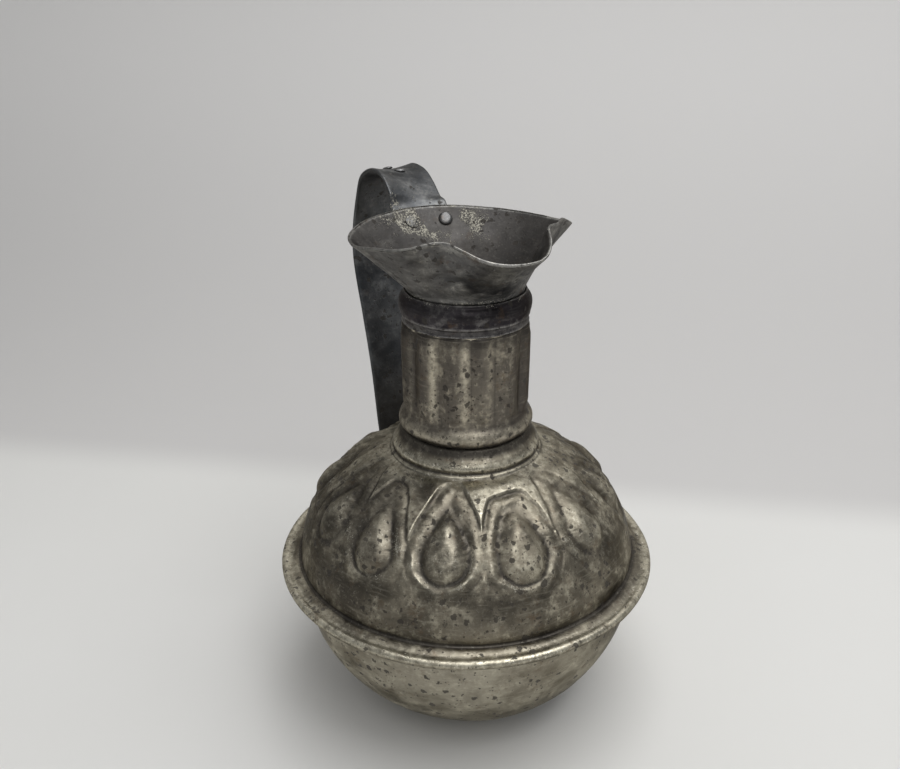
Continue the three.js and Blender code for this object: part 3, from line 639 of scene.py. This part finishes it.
def make_shoulder():
    columns = 760
    azimuth = round_trip(columns)
    degrees = np.degrees(azimuth)
    fold, collar = fold_profile(), collar_profile()
    fold_grid, collar_grid = spun(fold, columns), spun(collar, columns)
    coarse, fine = np.arange(1.0, 18, 0.9), np.arange(18, DOME_LENGTH - 0.2, 0.55)
    lengths = np.concatenate([coarse, fine])[:, None]
    raised, level, groove, ridge, valley, wedge = relief(lengths, azimuth)
    near_drops = ease(-np.abs(level - 3.5), -9, -3)
    dome = on_dome(lengths, azimuth, raised)
    beaten = raised + 0.15 * near_drops * waves(dome, 2.6, 21) + 0.07 * waves(dome, 4.5, 22)
    beaten += 0.28 * waves(dome, 26, 23) + 0.1 * waves(dome, 10, 24)
    beaten *= ease(lengths, 0, 4)
    dome = on_dome(lengths, azimuth, beaten)
    inside_lengths = np.linspace(DOME_LENGTH, 0, 60)[:, None]
    inside_raised = relief(inside_lengths, azimuth)[0]
    inside = on_dome(inside_lengths, azimuth, np.minimum(inside_raised, 2.0) * 0.8 - SHEET - 0.5)
    inside[..., 2] = np.maximum(inside[..., 2], SEAM + LIP_SLOT)
    parts = [fold_grid, dome, collar_grid, inside]
    grid = np.concatenate(parts)
    # the flange is a little wavy
    rim_share = ease(np.hypot(grid[..., 0], grid[..., 1]), 86.2, 92)
    turned = np.arctan2(grid[..., 1], grid[..., 0])
    grid[..., 2] += rim_share * (0.22 * np.sin(3 * turned + 0.6) + 0.14 * np.sin(7 * turned + 2.1)
                                 + 0.1 * np.sin(13 * turned))

    pale, grime, rub = ([np.zeros(part.shape[:2]) for part in parts] for _ in range(3))
    # the seam: a painted highlight along the fold's upper edge, painted shade in the groove by the
    # dome's foot and inside the hem, and one side darker
    fold_radius, fold_height = fold[:, :1], fold[:, 1:]
    rub[0][:] = ease(fold_radius, 88, 92.5) * ease(fold_height, SEAM - 1, SEAM + 1.5)
    grime[0][-3:] = 0.25
    grime[0] += 0.45 * bump(wrapped(degrees - FLANGE_DARKER_AT), 36) * (1 - rub[0] * 0.6)
    grime[0][:5] = 0.8
    # the dome: painted shade in the grooves round the drops and at its foot, grime in a lower band,
    # one side darker, wear on the rings, wedges and drops, and a painted highlight at its top by
    # the collar
    lower_wall = ease(lengths, 14, 22)
    grime[1][:] = (0.36 * groove + 0.06 * valley) * lower_wall
    grime[1] += 0.2 * ease(-lengths, -3.0, -1.0)
    cloud = ease(waves(dome, 30, 36), -0.9, 0.9)
    grime[1] += 0.55 * bump(wrapped(degrees - DOME_DARKER_AT), 38) * cloud
    grime[1] += 0.4 * bump(lengths - 15, 10) * ease(waves(dome, 22, 37), -0.6, 0.8)
    rub[1][:] = (0.22 * ridge + 0.6 * wedge * ease(waves(dome, 16, 28), -1.0, 0.6)) * lower_wall
    rub[1] += 0.45 * ease(-level, 0, 5) * ease(waves(dome, 12, 29), -0.8, 0.8)
    rub[1] += 0.5 * ease(lengths, DOME_LENGTH - 9, DOME_LENGTH - 2)
    pale[1][:] = 0.8 * ridge * ease(waves(dome, 6, 30), -0.3, 1.0)
    # the collar: painted shade in the crevice under the neck's ring and in a band near its foot,
    # painted highlights on its bulge and along its edge, and crust
    collar_height = collar[:, 1:] - COLLAR_BASE
    grime[2][:] = 0.95 * ease(collar_height, 6.8, 9.6) + 0.45 * bump(collar_height - 1.9, 0.7)
    rub[2][:] = 0.95 * bump(collar_height - 4.6, 1.9) + 0.7 * bump(collar_height - 0.5, 0.7)
    pale[2][:] = 0.4 * bump(collar_height - 5, 1.8) * ease(waves(collar_grid, 6, 38), -0.4, 0.9)
    # and the inside, painted dark as shade
    grime[3][:] = 0.7
    grime, pale, rub = (np.concatenate(values) for values in (grime, pale, rub))
    make_piece("worn_shoulder", grid, "tinned_shoulder", tin_shoulder,
               grime=grime, pale=pale, rub=rub)


make_shoulder()


# Neck: uneven lobes between two rings. The creases are azimuths in degrees, and beside each the
# lobe carries a painted highlight, a bright streak of this strength, most of all on the spout's
# side.
CREASES = [-79, -50, -21, 1, 32, 61, 92, 121, 150, 181, 211, 245]
HIGHLIGHT_STREAKS = [0.25, 1.0, 0.9, 0.3, 0.2, 0.3, 0.5, 0.4, 0.3, 0.4, 0.5, 0.3]
STREAK_ASIDE = 5.5
STREAK_WIDTH = 3.6
# its darker places: azimuth in degrees, strength, width in degrees
NECK_DARKER = [(-96, 0.5, 24), (30, 0.35, 26)]


def lobe_share(azimuth):
    """0 in the valley between two lobes and 1 on the crest of each."""
    creases = np.array(CREASES + [CREASES[0] + 360], float)
    degrees = (np.degrees(azimuth) - CREASES[0]) % 360 + CREASES[0]
    slot = np.clip(np.searchsorted(creases, degrees, side="right") - 1, 0, len(CREASES) - 1)
    across = 2 * (degrees - creases[slot]) / (creases[slot + 1] - creases[slot]) - 1
    return 0.4 * np.cos(math.pi / 2 * across) + 0.3 * (1 + np.cos(math.pi * across))


def make_neck():
    columns = 600
    azimuth = round_trip(columns)
    bottom = COLLAR_TOP + GAP
    band_bottom = NECK_TOP + BAND_CAP + GAP - BAND_HEIGHT
    top = band_bottom - GAP
    skirt = spaced(np.concatenate([
        beside(NECK_BORE, bottom, [(1.9, 0), (2.9, 0.1)]),
        beside(LOWER_RING_RADIUS, bottom, [
            (-1.2, 0.7), (-0.3, 2.0), (0, 3.6), (-0.2, 5.2), (-0.9, 6.8), (-2.0, 8.4), (-2.8, 10.0),
        ]),
        beside(NECK_RADIUS, bottom, [(0.3, 12.0), (0, 15.2)]),
    ]), 0.5)
    heights = np.arange(skirt[-1, 1] + 0.6, top, 0.65)
    outline = np.concatenate([skirt, np.stack([np.full(len(heights), NECK_RADIUS), heights], -1)])
    base, height = outline[:, :1], outline[:, 1:]
    share = lobe_share(azimuth)
    swell = ease(height, bottom + 8.5, bottom + 16.5)
    swell = swell * np.sqrt(np.clip((top + 0.5 - height) / 5, 0, 1))
    middle = 1 + 0.05 * np.sin(math.pi * (height - RING_TOP) / (top - RING_TOP))
    radius = base + LOBE_HEIGHT * swell * share * middle
    column = around(radius, height, azimuth)
    column = dented(column, [(16, 0.16), (6, 0.06), (3.2, 0.02)], 31)
    reach = np.hypot(column[..., 0], column[..., 1])
    column[..., :2] *= np.minimum(1, LOWER_RING_RADIUS / reach)[..., None]
    upper = [(NECK_RADIUS, top), (NECK_RADIUS, NECK_TOP)]
    inner = [
        (NECK_BORE, NECK_TOP), (NECK_BORE, COLLAR_TOP + SOCKET_DEPTH + NECK_SHEET),
        (NECK_BORE, RING_TOP), (NECK_BORE + 1.5, COLLAR_TOP + 4.4),
        (NECK_BORE + 1.5, bottom + 0.2),
    ]
    grid = np.concatenate([column, spun(upper, columns), spun(inner, columns)])
    pale, grime, rub = (np.zeros(grid.shape[:2]) for _ in range(3))
    count = len(column)
    degrees = np.degrees(azimuth)
    # painted shade in the creases between lobes, at the foot where it goes into the collar and just
    # under the band; the places listed above are darker
    grime[:count] = 0.12 * (1 - ease(share, 0.0, 0.5)) * swell
    cloud = ease(waves(column, 20, 36), -1.0, 0.8)
    for at, strength, width in NECK_DARKER:
        grime[:count] += strength * bump(wrapped(degrees - at), width) * cloud
    grime[:count] += 0.9 * ease(-height, -bottom - 2.4, -bottom - 0.6)
    grime[:count] += 0.5 * ease(height, top - 9, top - 1)
    # painted highlights: a streak beside each crease, and a band round the lower ring
    streak = sum(clear * bump(wrapped(degrees - crease + STREAK_ASIDE), STREAK_WIDTH)
                 for crease, clear in zip(CREASES, HIGHLIGHT_STREAKS))
    rub[:count] = 1.1 * streak * swell * ease(waves(column, 24, 34), -1.4, 0.2)
    rub[:count] += 0.75 * bump(height - bottom - 5.4, 2.6)
    pale[:count] = 0.3 * bump(height - bottom - 6, 2.4) * ease(waves(column, 11, 35), -0.2, 1)
    make_piece("worn_neck", grid, "tinned_neck", tin_neck, reach=(2, 3),
               grime=grime, pale=pale, rub=rub)


make_neck()


# Band: half round, over a narrow strip that lies on the neck
def make_band():
    inner = NECK_RADIUS + GAP
    throat = SPIGOT_RADIUS + 2 * GAP
    top = NECK_TOP + GAP + BAND_CAP
    bottom = top - BAND_HEIGHT
    outer = spaced(np.concatenate([
        beside(inner, bottom, [(0.05, 0), (0.35, 0.1), (0.4, 0.6), (0.15, 1.2), (0.12, 2.8),
                               (0.35, 3.4), (0.75, 3.8), (0.75, 4.4)]),
        beside(BAND_RADIUS, bottom, [(-0.75, 5.1), (-0.3, 6.6), (-0.05, 8.2), (0, 9.4),
                                     (-0.35, 10.9), (-1.1, 12.3), (-2.2, 13.6)]),
        beside(throat, top, [(0.7, -0.3), (0, 0)]),
    ]), 0.4)
    rest = np.array([(throat, NECK_TOP + GAP), (inner, NECK_TOP + GAP), (inner, bottom + 0.3)])
    grid = spun(np.concatenate([outer, rest]), 480)
    part = grid[: len(outer)]
    part[:] = dented(part, [(12, 0.12), (4.5, 0.05)], 41)
    part[..., :2] *= np.minimum(1, BAND_RADIUS / np.hypot(part[..., 0], part[..., 1]))[..., None]
    height = grid[..., 2] - bottom
    # painted shade in a groove low on the band and over its upper part; painted highlights on its
    # lower edge and on a line above it, where it turns towards the floor
    grime = 0.3 * ease(height, 5.5, 8) + 0.4 * bump(height - 2.2, 0.8)
    rub = 0.8 * bump(height - 4.0, 0.6) + 0.6 * bump(height - 0.5, 0.5)
    rub += 0.35 * ease(-height, -3.4, -2.6)
    pale = 0.5 * bump(height - BAND_HEIGHT + 0.5, 1.1) * ease(waves(grid, 6, 42), -0.4, 0.7)
    make_piece("worn_neck_band", grid, "tarnished_band", band_metal, reach=(2, 3),
               grime=grime, pale=pale, rub=rub)


make_band()


# salt-like crust round and left of the right rivet: azimuth and width in degrees, strength
CRUST_SPOTS = [(168, 22, 1.0), (196, 16, 0.6), (140, 20, 0.45)]


def make_mouth():
    columns = 560
    azimuth = round_trip(columns)
    degrees = np.degrees(azimuth)
    bottom = NECK_TOP - SOCKET_DEPTH
    curve, wall = np.linspace(-THROAT_CURVE, 4, 14), np.arange(4.7, MOUTH_SLANT - 0.5, 0.75)
    lengths = np.concatenate([curve, wall])[:, None]
    rim_turn = np.linspace(-math.pi / 2, math.pi / 2, 7)[:, None]
    half = SHEET / 2
    bead = on_mouth(MOUTH_SLANT - half + half * np.cos(rim_turn), azimuth,
                    -half - half * np.sin(rim_turn))
    outer = on_mouth(lengths, azimuth)
    inner = on_mouth(lengths[::-1], azimuth, -SHEET)
    start = spun([(SPIGOT_RADIUS - SHEET, bottom), (SPIGOT_RADIUS, bottom)], columns)
    grid = np.concatenate([start, outer, bead, inner])
    count = len(outer)
    on_outer, on_bead, on_inner = slice(2, 2 + count), slice(2 + count, -count), slice(-count, None)
    outward = grid_normals(outer, False)
    normal = np.zeros_like(grid)
    normal[on_outer], normal[on_bead], normal[on_inner] = outward, outward[-1], outward[::-1]
    # the strap's seat stays smooth
    behind = bump(wrapped(degrees - 180), 26)
    free = ease(grid[..., 2], WAIST + 1, WAIST + 8) * (1 - behind)
    shift = 0.26 * waves(grid, 17, 51) + 0.1 * waves(grid, 6, 52) + 0.05 * waves(grid, 3.4, 53)
    grid = grid + normal * (free * shift)[..., None]
    height = grid[..., 2]
    inside, slant = np.zeros(grid.shape[:2]), np.zeros(grid.shape[:2])
    inside[on_inner] = 1
    slant[on_outer], slant[on_bead], slant[on_inner] = lengths, MOUTH_SLANT, lengths[::-1]
    patchy = ease(waves(grid, 9, 54) + 0.6 * waves(grid, 3.5, 55), -0.5, 1.0)
    spots = sum(strength * bump(wrapped(degrees - at), width)
                for at, width, strength in CRUST_SPOTS)
    crust = inside * spots * ease(slant, 12, 22)
    crust = crust + inside * 0.5 * bump(wrapped(degrees - 185), 30) * bump(slant - 20, 8)
    solder = (1 - inside) * bump(height - WAIST + 0.4, 1.0) * ease(waves(grid, 8, 56), -0.6, 0.8)
    pale = np.clip(crust * patchy * 1.3 + 0.8 * solder, 0, 1)
    rim = ease(slant, MOUTH_SLANT - 2.2, MOUTH_SLANT - 0.8)
    # painted shade outside under the flare and inside the funnel, deepest in the throat; inside it
    # is darker on one side too, and the rim is kept clear
    grime = 0.6 * ease(-height, -WAIST - 1, -WAIST + 4) * (1 - inside)
    grime += inside * (0.74 + 0.25 * ease(-slant, -22, -6))
    grime += inside * 0.25 * bump(wrapped(degrees - 95), 45)
    grime *= 1 - rim
    mottled = (1 - inside) * ease(waves(grid, 8, 57) + 0.5 * waves(grid, 3, 58), -0.6, 1.2)
    rubbed = mottled * (0.55 + 0.25 * bump(wrapped(degrees + 75), 45))
    make_piece("worn_mouth", grid, "tinned_mouth", mouth_metal, reach=(2, 3),
               grime=grime, pale=pale, rub=np.maximum(0.8 * rim, rubbed))


make_mouth()


# Strap: the same middle line as the solid's, with a shallow channel and a slight twist
TOP_LAP = 15.0
PAST_RIM = 1.5
SEAT_END = TOP_LAP + PAST_RIM
FOOT_LAP = 14.0
FOOT_RISE = 3.0
BLEND = 24.0
CHANNEL = 1.3
CREST_RISE = 14.0
CREST_REACH = 28.3
GRIP_RADIUS = 113.0
GRIP_DROP = 52.0
FARTHEST_BACK = -115.6
# each lifts the strap's right edge, or lowers it: distance past its seat, lift, length
TWISTS = [(11, -3.6, 18), (58, 3.0, 18)]


def wall_point(on_wall, length, offset):
    """Place across and up, in the strap's plane, of a point on one of the two walls."""
    point = on_wall(length, math.pi, offset)
    return np.array([point[0], point[2]])


def strap_knots():
    """Points on the strap's middle line: on the mouth, over the crest, down and onto the dome."""
    rim = wall_point(on_mouth, MOUTH_SLANT, SEAT)
    top = [wall_point(on_mouth, MOUTH_SLANT + past, SEAT)
           for past in (-TOP_LAP, -TOP_LAP / 2, PAST_RIM)]
    foot = [wall_point(on_dome, FOOT_RISE + FOOT_LAP * share, SEAT) for share in (1, 0.5, 0)]
    crest = rim + [-CREST_REACH, CREST_RISE]
    grip = np.array([-GRIP_RADIUS, crest[1] - GRIP_DROP])
    bend = foot[0] + [-1, 16]
    return np.array([
        *top,
        rim + [-CREST_REACH * 0.21, CREST_RISE * 0.42],
        rim + [-CREST_REACH * 0.5, CREST_RISE * 0.81],
        crest,
        [(crest[0] + grip[0]) / 2 - 2.2, crest[1] - 4.8],
        [grip[0] + 2.7, crest[1] - GRIP_DROP * 0.54],
        grip,
        grip + 0.32 * (bend - grip) + [1.5, 0],
        grip + 0.64 * (bend - grip) + [3, 0],
        bend,
        *foot,
    ])


def smooth_line(knots, per_span=60):
    """Points of a centripetal Catmull-Rom curve through the knots."""
    ends = np.concatenate([[2 * knots[0] - knots[1]], knots, [2 * knots[-1] - knots[-2]]])
    points = []
    for p0, p1, p2, p3 in zip(ends, ends[1:], ends[2:], ends[3:]):
        d0, d1, d2 = (math.sqrt(np.linalg.norm(b - a)) for a, b in ((p0, p1), (p1, p2), (p2, p3)))
        m1 = ((p1 - p0) / d0 - (p2 - p0) / (d0 + d1) + (p2 - p1) / d1) * d1
        m2 = ((p2 - p1) / d1 - (p3 - p1) / (d1 + d2) + (p3 - p2) / d2) * d1
        t = np.linspace(0, 1, per_span, endpoint=False)[:, None]
        square, cube = 3 * (p2 - p1) - 2 * m1 - m2, 2 * (p1 - p2) + m1 + m2
        points.append(p1 + m1 * t + square * t**2 + cube * t**3)
    points.append(knots[-1:])
    return np.concatenate(points)


strap_line = smooth_line(strap_knots())
strap_s = along_line(strap_line)
STRAP_LENGTH = float(strap_s[-1])


def strap_at(s):
    """Place on the middle line this far along it."""
    return np.stack([np.interp(s, strap_s, strap_line[:, i]) for i in (0, 1)], -1)


def strap_normal(s):
    """Unit normal there, on the strap's outer side."""
    tangent = strap_at(np.asarray(s) + 0.4) - strap_at(np.asarray(s) - 0.4)
    tangent /= np.linalg.norm(tangent, axis=-1, keepdims=True)
    return np.stack([tangent[..., 1], -tangent[..., 0]], -1)


def seat_azimuth(on_wall, length, across):
    """Azimuths of points on a wall, these distances to the side of the strap's middle."""
    return math.pi - np.arcsin(across / abs(wall_point(on_wall, length, 0.0)[0]))


def twist_at(s):
    """How far the strap's right edge is lifted there."""
    past = s - SEAT_END
    return sum(lift * bump(past - at, length) for at, lift, length in TWISTS) * ease(past, 0, 6)


def make_strap():
    rows = np.linspace(0, STRAP_LENGTH, 420)
    half, thick = STRAP_WIDTH / 2, STRAP_SHEET / 2
    flat = np.linspace(-1, 1, 33)
    turn = np.linspace(-math.pi / 2, math.pi / 2, 9)[1:-1]
    edge, rounding = half - thick, thick * np.cos(turn)
    across = np.concatenate([flat * edge, edge + rounding, -flat * edge, -edge - rounding])
    side = np.concatenate([-np.ones(len(flat)), np.sin(turn), np.ones(len(flat)), np.sin(-turn)])
    column = across / half
    grid = np.zeros((len(rows), len(across), 3))
    for i, s in enumerate(rows):
        from_foot = STRAP_LENGTH - s
        centre, normal = strap_at(s), strap_normal(s)
        seats = []
        for wall, length in ((on_mouth, MOUTH_SLANT - TOP_LAP + min(s, SEAT_END)),
                             (on_dome, FOOT_RISE + min(from_foot, FOOT_LAP))):
            under = wall(length, seat_azimuth(wall, length, across), SEAT)[..., [0, 2]]
            seats.append((under - wall_point(wall, length, SEAT)) @ normal)
        below = ease(s, SEAT_END, SEAT_END + BLEND)
        above = ease(from_foot, FOOT_LAP, FOOT_LAP + BLEND)
        rise = seats[0] * (1 - below) + CHANNEL * column**2 * below
        rise = seats[1] * (1 - above) + rise * above
        out = rise + twist_at(s) * column + side * thick
        grid[i][:, [0, 2]] = centre + normal * out[:, None]
        grid[i, :, 1] = across
    # it is a little bent and beaten between its seats
    keep = ease(rows, 30, 60) * ease(STRAP_LENGTH - rows, 25, 50)
    sheet = grid.copy()
    sheet[..., [0, 2]] = strap_at(rows)[:, None, :]
    bend = 0.22 * waves(sheet, 30, 61) + 0.1 * waves(sheet, 9, 62) + 0.04 * waves(sheet, 4.5, 63)
    grid[..., [0, 2]] += strap_normal(rows)[:, None, :] * (bend * keep[:, None])[..., None]
    grid[..., 0] = np.maximum(grid[..., 0], FARTHEST_BACK)
    s = rows[:, None]
    outside = (side > 0)[None, :]
    # painted shade over the stretch towards the foot and on the inner side about the crest, and a
    # painted lighter patch on the inner side half way down
    grime = 0.7 * ease(s, 160, 212) + 0.6 * bump(s - 62, 26) * (~outside) + 0 * grid[..., 0]
    pale = 0.75 * bump(s - 18, 6) * ease(waves(grid, 4, 64), -0.3, 0.8)
    rub = 0.3 * ease(-s, -80, -30) * outside * ease(waves(grid, 10, 65), -1, 0.8)
    rub = rub + 0.3 * bump(s - 135, 26) * (~outside) * ease(waves(grid, 12, 66), -1, 0.8)
    make_piece("worn_handle", grid, "dark_strap", strap_metal, wrap_rows=False, reach=(2, 1),
               grime=grime, pale=pale, rub=rub)


make_strap()


# Rivets: a hammered, lopsided head, and a tail beaten flat on the far side
RIVET_SLACK = 0.35
SHANK_RADIUS = 1.7
TAIL_RADIUS = 2.9
TAIL_HEIGHT = 1.0


def frame_of(facing):
    """Two unit vectors across a direction, and the direction itself."""
    facing = np.asarray(facing, float)
    facing = facing / np.linalg.norm(facing)
    u = np.cross([0.0, 1.0, 0.0], facing)
    u /= np.linalg.norm(u)
    return u, np.cross(facing, u), facing


def make_rivet(name, at, facing, grip, head_radius, head_height, seed, slant=0.0, crusted=0.12):
    """A rivet through a grip of this depth, with its head at a point and facing this way."""
    tail, head = -grip - 0.45, RIVET_SLACK
    dome = np.array([(1, 0.3), (0.93, 0.55), (0.8, 0.8), (0.6, 0.95), (0.35, 1)])
    profile = np.concatenate([
        beside(0, tail, [
            (0.15, -TAIL_HEIGHT), (TAIL_RADIUS * 0.6, -TAIL_HEIGHT),
            (TAIL_RADIUS * 0.93, -TAIL_HEIGHT * 0.55), (TAIL_RADIUS, -0.1), (TAIL_RADIUS - 0.25, 0),
            (SHANK_RADIUS, 0),
        ]),
        beside(0, head, [(SHANK_RADIUS, -0.1), (head_radius - 0.3, -0.1), (head_radius, 0.12),
                         *dome * (head_radius, head_height), (0.12, head_height)]),
    ])
    fine = []
    for a, b in zip(profile, profile[1:]):
        steps = max(1, int(np.hypot(*(b - a)) / 0.3))
        fine += [a + (b - a) * k / steps for k in range(steps)]
    fine.append(profile[-1])
    grid = spun(fine, 40)
    height = grid[..., 2]
    on_head = ease(height, head, head + 0.4 * head_height)
    tilt = slant * grid[..., 0] / head_radius * head_height * 0.3
    grid[..., 2] += on_head * (tilt + 0.12 * waves(grid, 2.4, seed))
    lopsided = 1 + 0.05 * np.sin(np.arctan2(grid[..., 1], grid[..., 0]) * 2 + seed)
    grid[..., :2] *= (1 + on_head * (lopsided - 1) - 0.05 * on_head)[..., None]
    u, v, w = frame_of(facing)
    grid = np.asarray(at) + grid[..., :1] * u + grid[..., 1:2] * v + grid[..., 2:] * w
    make_piece("worn_" + name, grid, "rivet_metal", rivet_metal, wrap_rows=False, reach=(1, 2),
               grime=0.25 * (1 - on_head), pale=crusted * on_head)


def wall_normal(on_wall, length, azimuth):
    """Unit normal of a wall, outwards."""
    step = 0.01
    up = on_wall(length + step, azimuth) - on_wall(length - step, azimuth)
    across = on_wall(length, azimuth + step) - on_wall(length, azimuth - step)
    normal = np.cross(across, up)
    return normal / np.linalg.norm(normal)


# name, distance to the side, length up the mouth's wall, head's height, seed, slant, crust
MOUTH_RIVETS = [("right", -7.3, 27.7, 0.7, 71, 0.3, 0.9), ("left", 10.8, 27.5, 1.3, 72, -0.3, 0.1)]
# name, distance to the side, seed
FOOT_RIVETS = [("right", -8, 73), ("left", 8, 74)]
# name, distance behind the crest, seed, slant
CREST_RIVETS = [("front", -2.8, 75, 0.9), ("rear", 13.6, 76, -0.6)]

for name, side, length, height, seed, slant, crusted in MOUTH_RIVETS:
    azimuth = seat_azimuth(on_mouth, length, side)
    make_rivet("mouth_rivet_" + name, on_mouth(length, azimuth, -SHEET),
               -wall_normal(on_mouth, length, azimuth), SHEET + GAP + STRAP_SHEET, 3.6, height,
               seed, slant, crusted)
for name, side, seed in FOOT_RIVETS:
    length = FOOT_RISE + FOOT_LAP / 2
    azimuth = seat_azimuth(on_dome, length, side)
    at = on_dome(length, azimuth, GAP + STRAP_SHEET)
    make_rivet("foot_rivet_" + name, at, wall_normal(on_dome, length, azimuth),
               SHEET + 1.0 + GAP + STRAP_SHEET, 3.7, 1.7, seed, 0.3)
crest_s = float(strap_s[np.argmax(strap_line[:, 1])])
for name, behind, seed, slant in CREST_RIVETS:
    centre, normal = strap_at(crest_s + behind), strap_normal(crest_s + behind)
    tilted = -float(twist_at(crest_s + behind)) / (STRAP_WIDTH / 2)
    facing = frame_of([normal[0], tilted, normal[1]])[2]
    at = np.array([centre[0], 0.0, centre[1]]) + facing * STRAP_SHEET / 2
    make_rivet("crest_rivet_" + name, at, facing, STRAP_SHEET, 2.9, 1.0, seed, slant)


# Camera, at the place it was held. Its turn, tilt and roll are in degrees.
CAMERA_AT = (0.3502, -0.1716, 0.3356)
CAMERA_TURNS = [(65.0, "Z"), (66.838, "X"), (-0.469, "Z")]
camera_data = bpy.data.cameras.new("camera")
camera_data.lens = 34.99
camera_data.sensor_width = 36.0
camera_data.clip_start = 0.01
camera = placed("camera", camera_data)
camera.matrix_world = Matrix.Translation(CAMERA_AT)
for degrees, axis in CAMERA_TURNS:
    camera.matrix_world @= Matrix.Rotation(math.radians(degrees), 4, axis)
bpy.context.scene.camera = camera


# A pale paper sweep: flat under the jug, curving up behind it. It lies across the direction that
# is this many degrees round from +Y. Lengths are in metres from the jug's axis.
SWEEP_TURN = math.radians(55)
FLAT_END = 0.3
BEND_RADIUS = 0.42
WALL_HEIGHT = 1.3
# where the sheet under the jug ends behind it, on a greyer one
SHEET_END = (0.17, 0.23)
GREYER = (0.64, 0.63, 0.62, 1)
# the wall's painted shade: the paper is painted darker as it rises from the floor
WALL_SHADE = (0.76, 0.75, 0.74, 1)


def make_sweep():
    away = np.array([-math.sin(SWEEP_TURN), math.cos(SWEEP_TURN), 0.0])
    aside = np.array([away[1], -away[0], 0.0])
    profile = [(d, 0.0) for d in (-1.6, -0.6, 0.0, 0.15)]
    profile += [(FLAT_END + BEND_RADIUS * math.sin(t), BEND_RADIUS * (1 - math.cos(t)))
                for t in np.linspace(0, math.pi / 2, 40)]
    profile += [(FLAT_END + BEND_RADIUS, BEND_RADIUS + WALL_HEIGHT)]
    across = np.linspace(-1.8, 1.8, 9)
    points = [tuple(away * d + aside * a + (0, 0, z)) for d, z in profile for a in across]
    count = len(across)
    faces = [(k, k + 1, k + count + 1, k + count)
             for k in range(len(points) - count) if k % count < count - 1]
    mesh = bpy.data.meshes.new("paper_sweep")
    mesh.from_pydata(points, [], faces)
    mesh.polygons.foreach_set("use_smooth", [True] * len(mesh.polygons))
    sweep = placed("paper_sweep", mesh)
    n = Nodes("paper")
    tone = n.ramp(n.noise(n.place, 3.0, 2.0), 0.3, 0.7)
    colour = n.mix(tone, (0.78, 0.775, 0.75, 1), (0.8, 0.795, 0.775, 1))
    behind = n.add("VectorMath", {0: n.place, 1: tuple(away)}, operation="DOT_PRODUCT")
    height = n.add("SeparateXYZ", {"Vector": n.place}).outputs["Z"]
    colour = n.mix(n.ramp(behind.outputs["Value"], *SHEET_END), colour, GREYER)
    # painted shade on the wall, darker as it rises
    colour = n.mix(n.ramp(height, 0.02, 0.35), colour, WALL_SHADE)
    mesh.materials.append(n.surface({"Base Color": colour, "Roughness": 0.85}))


make_sweep()


def soft_light(name, at, towards, size, power):
    """A rectangular light of this size in metres and power in watts."""
    data = bpy.data.lights.new(name, "AREA")
    data.shape = "RECTANGLE"
    data.size, data.size_y = size
    data.energy = power
    light = placed(name, data)
    light.location = at
    light.rotation_euler = (Vector(towards) - Vector(at)).to_track_quat("-Z", "Y").to_euler()


soft_light("overhead", (0.24, 0.22, 1.5), (0, 0, 0.1), (1.2, 1.2), 12.9)
soft_light("front", (0.75, -0.15, 1.05), (0, 0, 0.12), (0.7, 0.7), 2.6)
world = bpy.data.worlds.new("world")
world.use_nodes = True
background = world.node_tree.nodes["Background"]
background.inputs["Color"].default_value = (0.8, 0.81, 0.82, 1)
background.inputs["Strength"].default_value = 0.35
scene.world = world
scene.view_settings.view_transform = "Standard"
scene.view_settings.look = "None"
